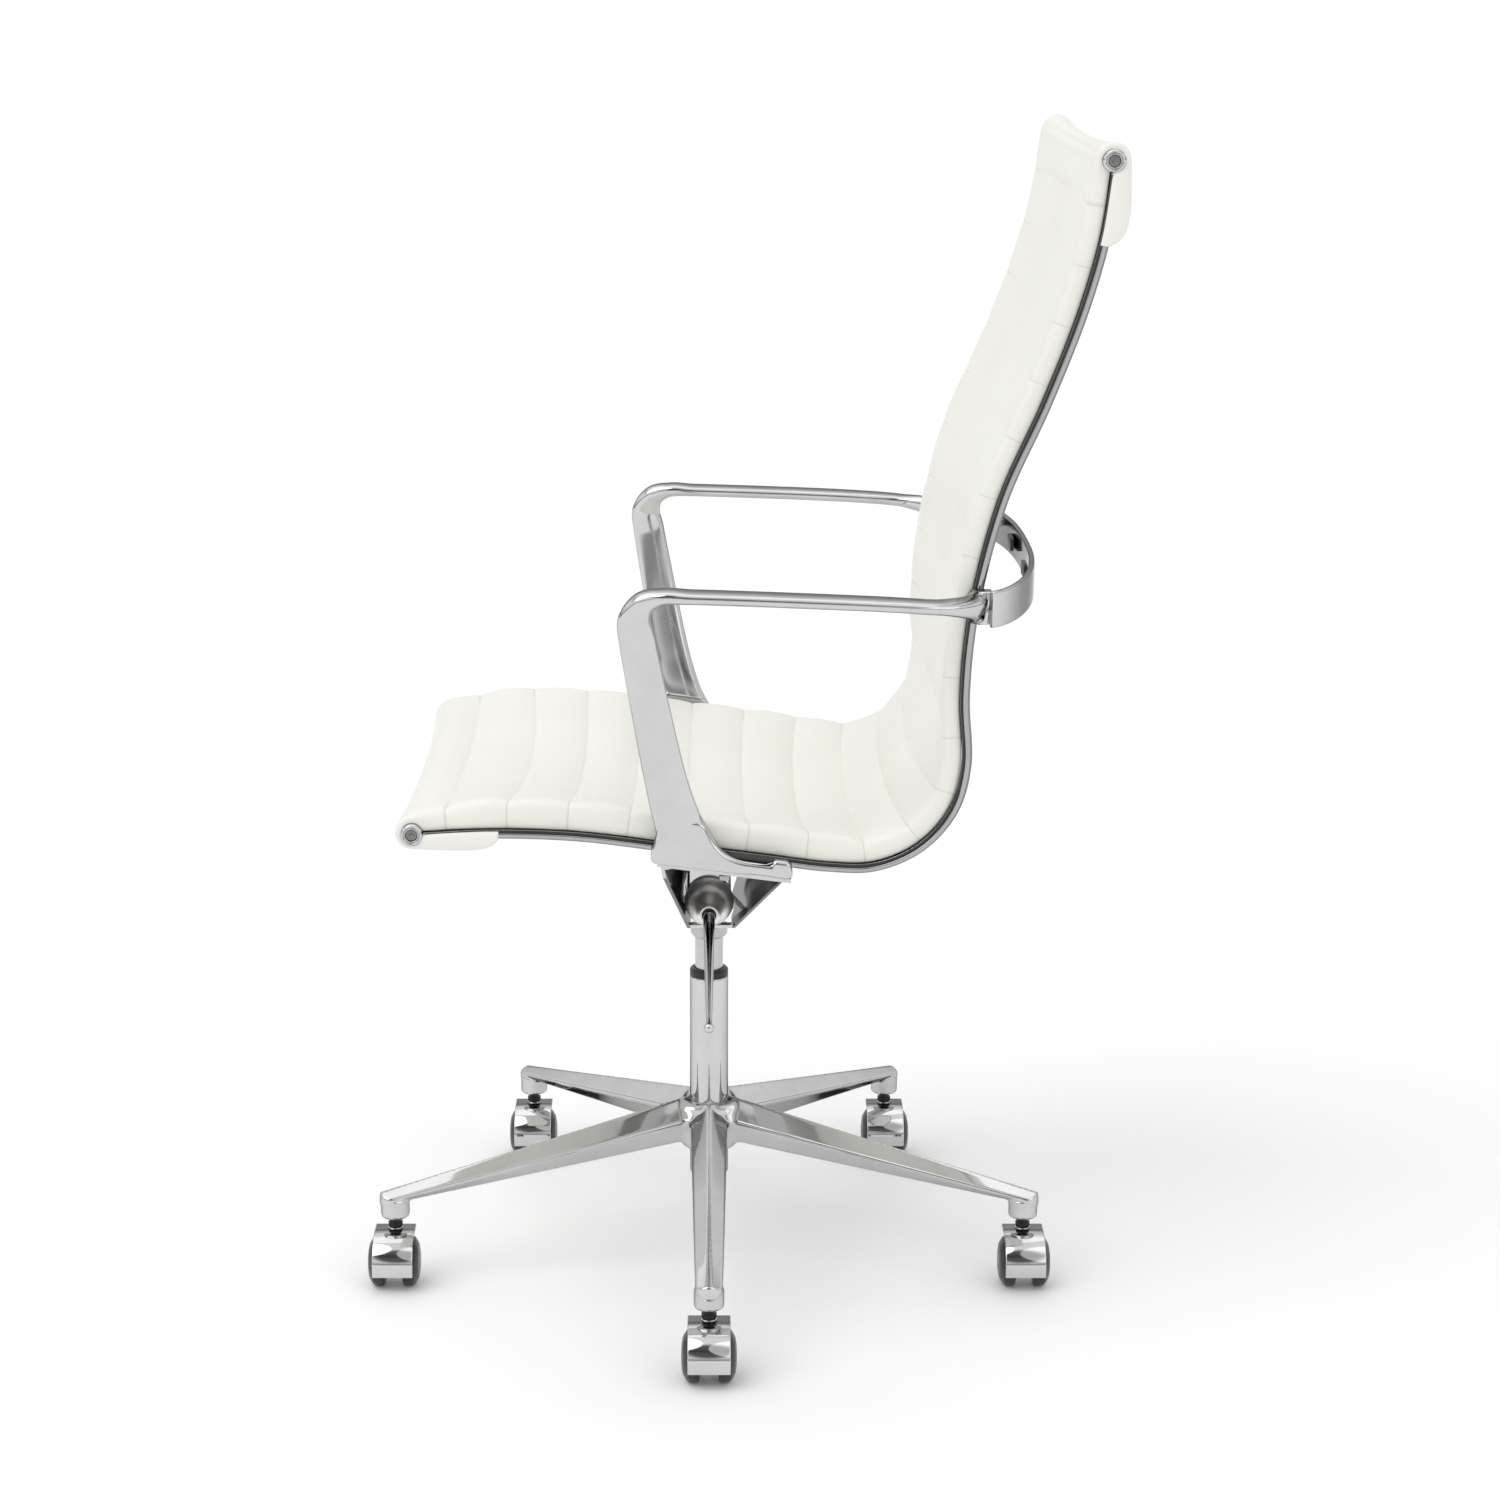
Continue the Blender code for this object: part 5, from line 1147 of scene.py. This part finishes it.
def make_casters():
    hood_points, hood_faces = hood_shape()
    apart = (WHEEL_SPACE + WHEEL_W) / 2
    collar_z = WHEEL_R + HOOD_R + 0.0009
    collar = [(0.0, 0.0365), (0.0055, 0.0365), (0.0055, collar_z), (0.0070, collar_z),
              (0.0070, collar_z + 0.0045),
              (0.0055, collar_z + 0.0045), (0.0055, TIP_Z + 0.020), (0.0, TIP_Z + 0.020)]
    for number, turn in enumerate(TURNS, 1):
        spot = np.array([BASE_R * math.cos(turn), BASE_R * math.sin(turn), 0.0])
        body = f"caster_{number}"
        piece(f"hood_shell_{number}", np.array(hood_points) + spot, hood_faces, "chrome", body,
              (f"{body}_hood",), sharp=50)
        for side, sign in SIDES:
            points, faces = wheel_shape(sign)
            centre = spot + np.array([CASTER_TRAIL, sign * apart, WHEEL_R])
            wheel = f"{body}_wheel_{side}"
            piece(f"roller_{number}_{side}", np.array(points) + centre, faces, "black_tread", wheel, (wheel,),
                  sharp=50)
        lathe(f"stem_collar_{number}", collar, 0.0006, "black_plastic", body, f"{body}_stem", centre=spot,
              segments=40)


# ---------------------------------------------------------------- stage

FLOOR_HALF = 300.0
FLOOR_GAP = 0.0005


def make_stage():
    mesh = bpy.data.meshes.new("floor")
    corners = [(x * FLOOR_HALF, y * FLOOR_HALF, 0) for x, y in ((-1, -1), (1, -1), (1, 1), (-1, 1))]
    mesh.from_pydata(corners, [], [(0, 1, 2, 3)])
    mesh.materials.append(MATS["floor"])
    floor = bpy.data.objects.new("floor", mesh)
    floor.location.z = -FLOOR_GAP
    bpy.context.scene.collection.objects.link(floor)


def sun(name, azimuth, elevation, power, spread):
    """A broad soft light. Its azimuth is counted from the camera's side towards the chair's front."""
    light = bpy.data.lights.new(name, "SUN")
    light.energy = power
    light.angle = math.radians(spread)
    obj = bpy.data.objects.new(name, light)
    a, e = math.radians(azimuth), math.radians(elevation)
    towards = Vector((math.cos(a) * math.cos(e), -math.sin(a) * math.cos(e), math.sin(e)))
    obj.rotation_euler = towards.to_track_quat("Z", "Y").to_euler()
    bpy.context.scene.collection.objects.link(obj)


# The room that the chrome mirrors: (height of the direction, brightness), and a darker patch to the left.
STUDIO = ((0.0, 0.95), (0.03, 0.80), (0.06, 0.38), (0.11, 0.34), (0.16, 0.75), (0.30, 1.05), (0.48, 0.95),
          (0.60, 0.45),
          (0.70, 0.80), (0.85, 1.05), (1.0, 1.0))
DARK_SIDE = (1.0, 0.0, 0.75)


def make_lights():
    """Soft light from above and the front. Chrome mirrors a pale room with a dark band near the horizon."""
    sun("key", 58, 52, 0.95, 50)
    sun("fill", -40, 40, 0.42, 60)
    sun("rear", 170, 55, 0.35, 60)
    world = bpy.data.worlds.new("studio")
    bpy.context.scene.world = world
    world.use_nodes = True
    tree = world.node_tree
    background = tree.nodes["Background"]
    coords = tree.nodes.new("ShaderNodeTexCoord")
    split = tree.nodes.new("ShaderNodeSeparateXYZ")
    tree.links.new(coords.outputs["Generated"], split.inputs[0])
    ramp = tree.nodes.new("ShaderNodeValToRGB")
    tree.links.new(split.outputs["Z"], ramp.inputs[0])
    for element, (place, level) in zip(ramp.color_ramp.elements, (STUDIO[0], STUDIO[-1])):
        element.position = place
        element.color = grey(level)
    for place, level in STUDIO[1:-1]:
        ramp.color_ramp.elements.new(place).color = grey(level)
    facing = tree.nodes.new("ShaderNodeVectorMath")
    facing.operation = "DOT_PRODUCT"
    tree.links.new(coords.outputs["Generated"], facing.inputs[0])
    facing.inputs[1].default_value = Vector(DARK_SIDE).normalized()
    screen = tree.nodes.new("ShaderNodeMapRange")
    screen.interpolation_type = "SMOOTHSTEP"
    tree.links.new(facing.outputs["Value"], screen.inputs["Value"])
    for key, value in (("From Min", 0.85), ("From Max", 0.95), ("To Min", 1.0), ("To Max", 0.12)):
        screen.inputs[key].default_value = value
    room = tree.nodes.new("ShaderNodeMix")
    room.data_type = "RGBA"
    room.blend_type = "MULTIPLY"
    room.inputs[0].default_value = 1.0
    tree.links.new(ramp.outputs[0], room.inputs[6])
    tree.links.new(screen.outputs["Result"], room.inputs[7])
    path = tree.nodes.new("ShaderNodeLightPath")
    shade = grey(0.70)
    for ray, seen in (("Is Glossy Ray", room.outputs[2]), ("Is Camera Ray", grey(1.0))):
        mix = tree.nodes.new("ShaderNodeMix")
        mix.data_type = "RGBA"
        tree.links.new(path.outputs[ray], mix.inputs[0])
        for socket, value in ((mix.inputs[6], shade), (mix.inputs[7], seen)):
            put(tree, socket, value)
        shade = mix.outputs[2]
    tree.links.new(shade, background.inputs[0])


CAMERA_DISTANCE = 3.1229
CAMERA_HEIGHT = 1.2696
CAMERA_TILT = 76.27
CAMERA_LENS = 79.2
CAMERA_SHIFT = 0.0273


def make_camera():
    camera = bpy.data.cameras.new("camera")
    camera.sensor_width = 36.0
    camera.lens = CAMERA_LENS
    camera.shift_x = CAMERA_SHIFT
    camera.clip_start = 0.1
    camera.clip_end = 900
    obj = bpy.data.objects.new("camera", camera)
    obj.location = (CAMERA_DISTANCE + ORIGIN[0], ORIGIN[1], CAMERA_HEIGHT + ORIGIN[2])
    obj.rotation_euler = (math.radians(CAMERA_TILT), 0, math.radians(90))
    bpy.context.scene.collection.objects.link(obj)
    bpy.context.scene.camera = obj
    bpy.context.scene.view_settings.view_transform = "Standard"


def dress_remaining():
    """Every CAD node that still shows gets its finished material, by its slot in the record."""
    slots = {s["node"]: s["material_slot"] for s in frame["record"]["subparts"]}
    for name, obj in NODES.items():
        if obj.hide_render:
            continue
        obj.data.materials.clear()
        obj.data.materials.append(MATS[slots[name]])


make_sling()
make_rails()
make_end_caps()
make_arms()
make_brace()
make_column()
make_mechanism()
make_lever()
make_star()
make_casters()
dress_remaining()
bevelled("seat_support", "chromed_casting", 0.0009)
bevelled("tilt_housing", "satin_steel", 0.0006)
make_stage()
make_lights()
make_camera()
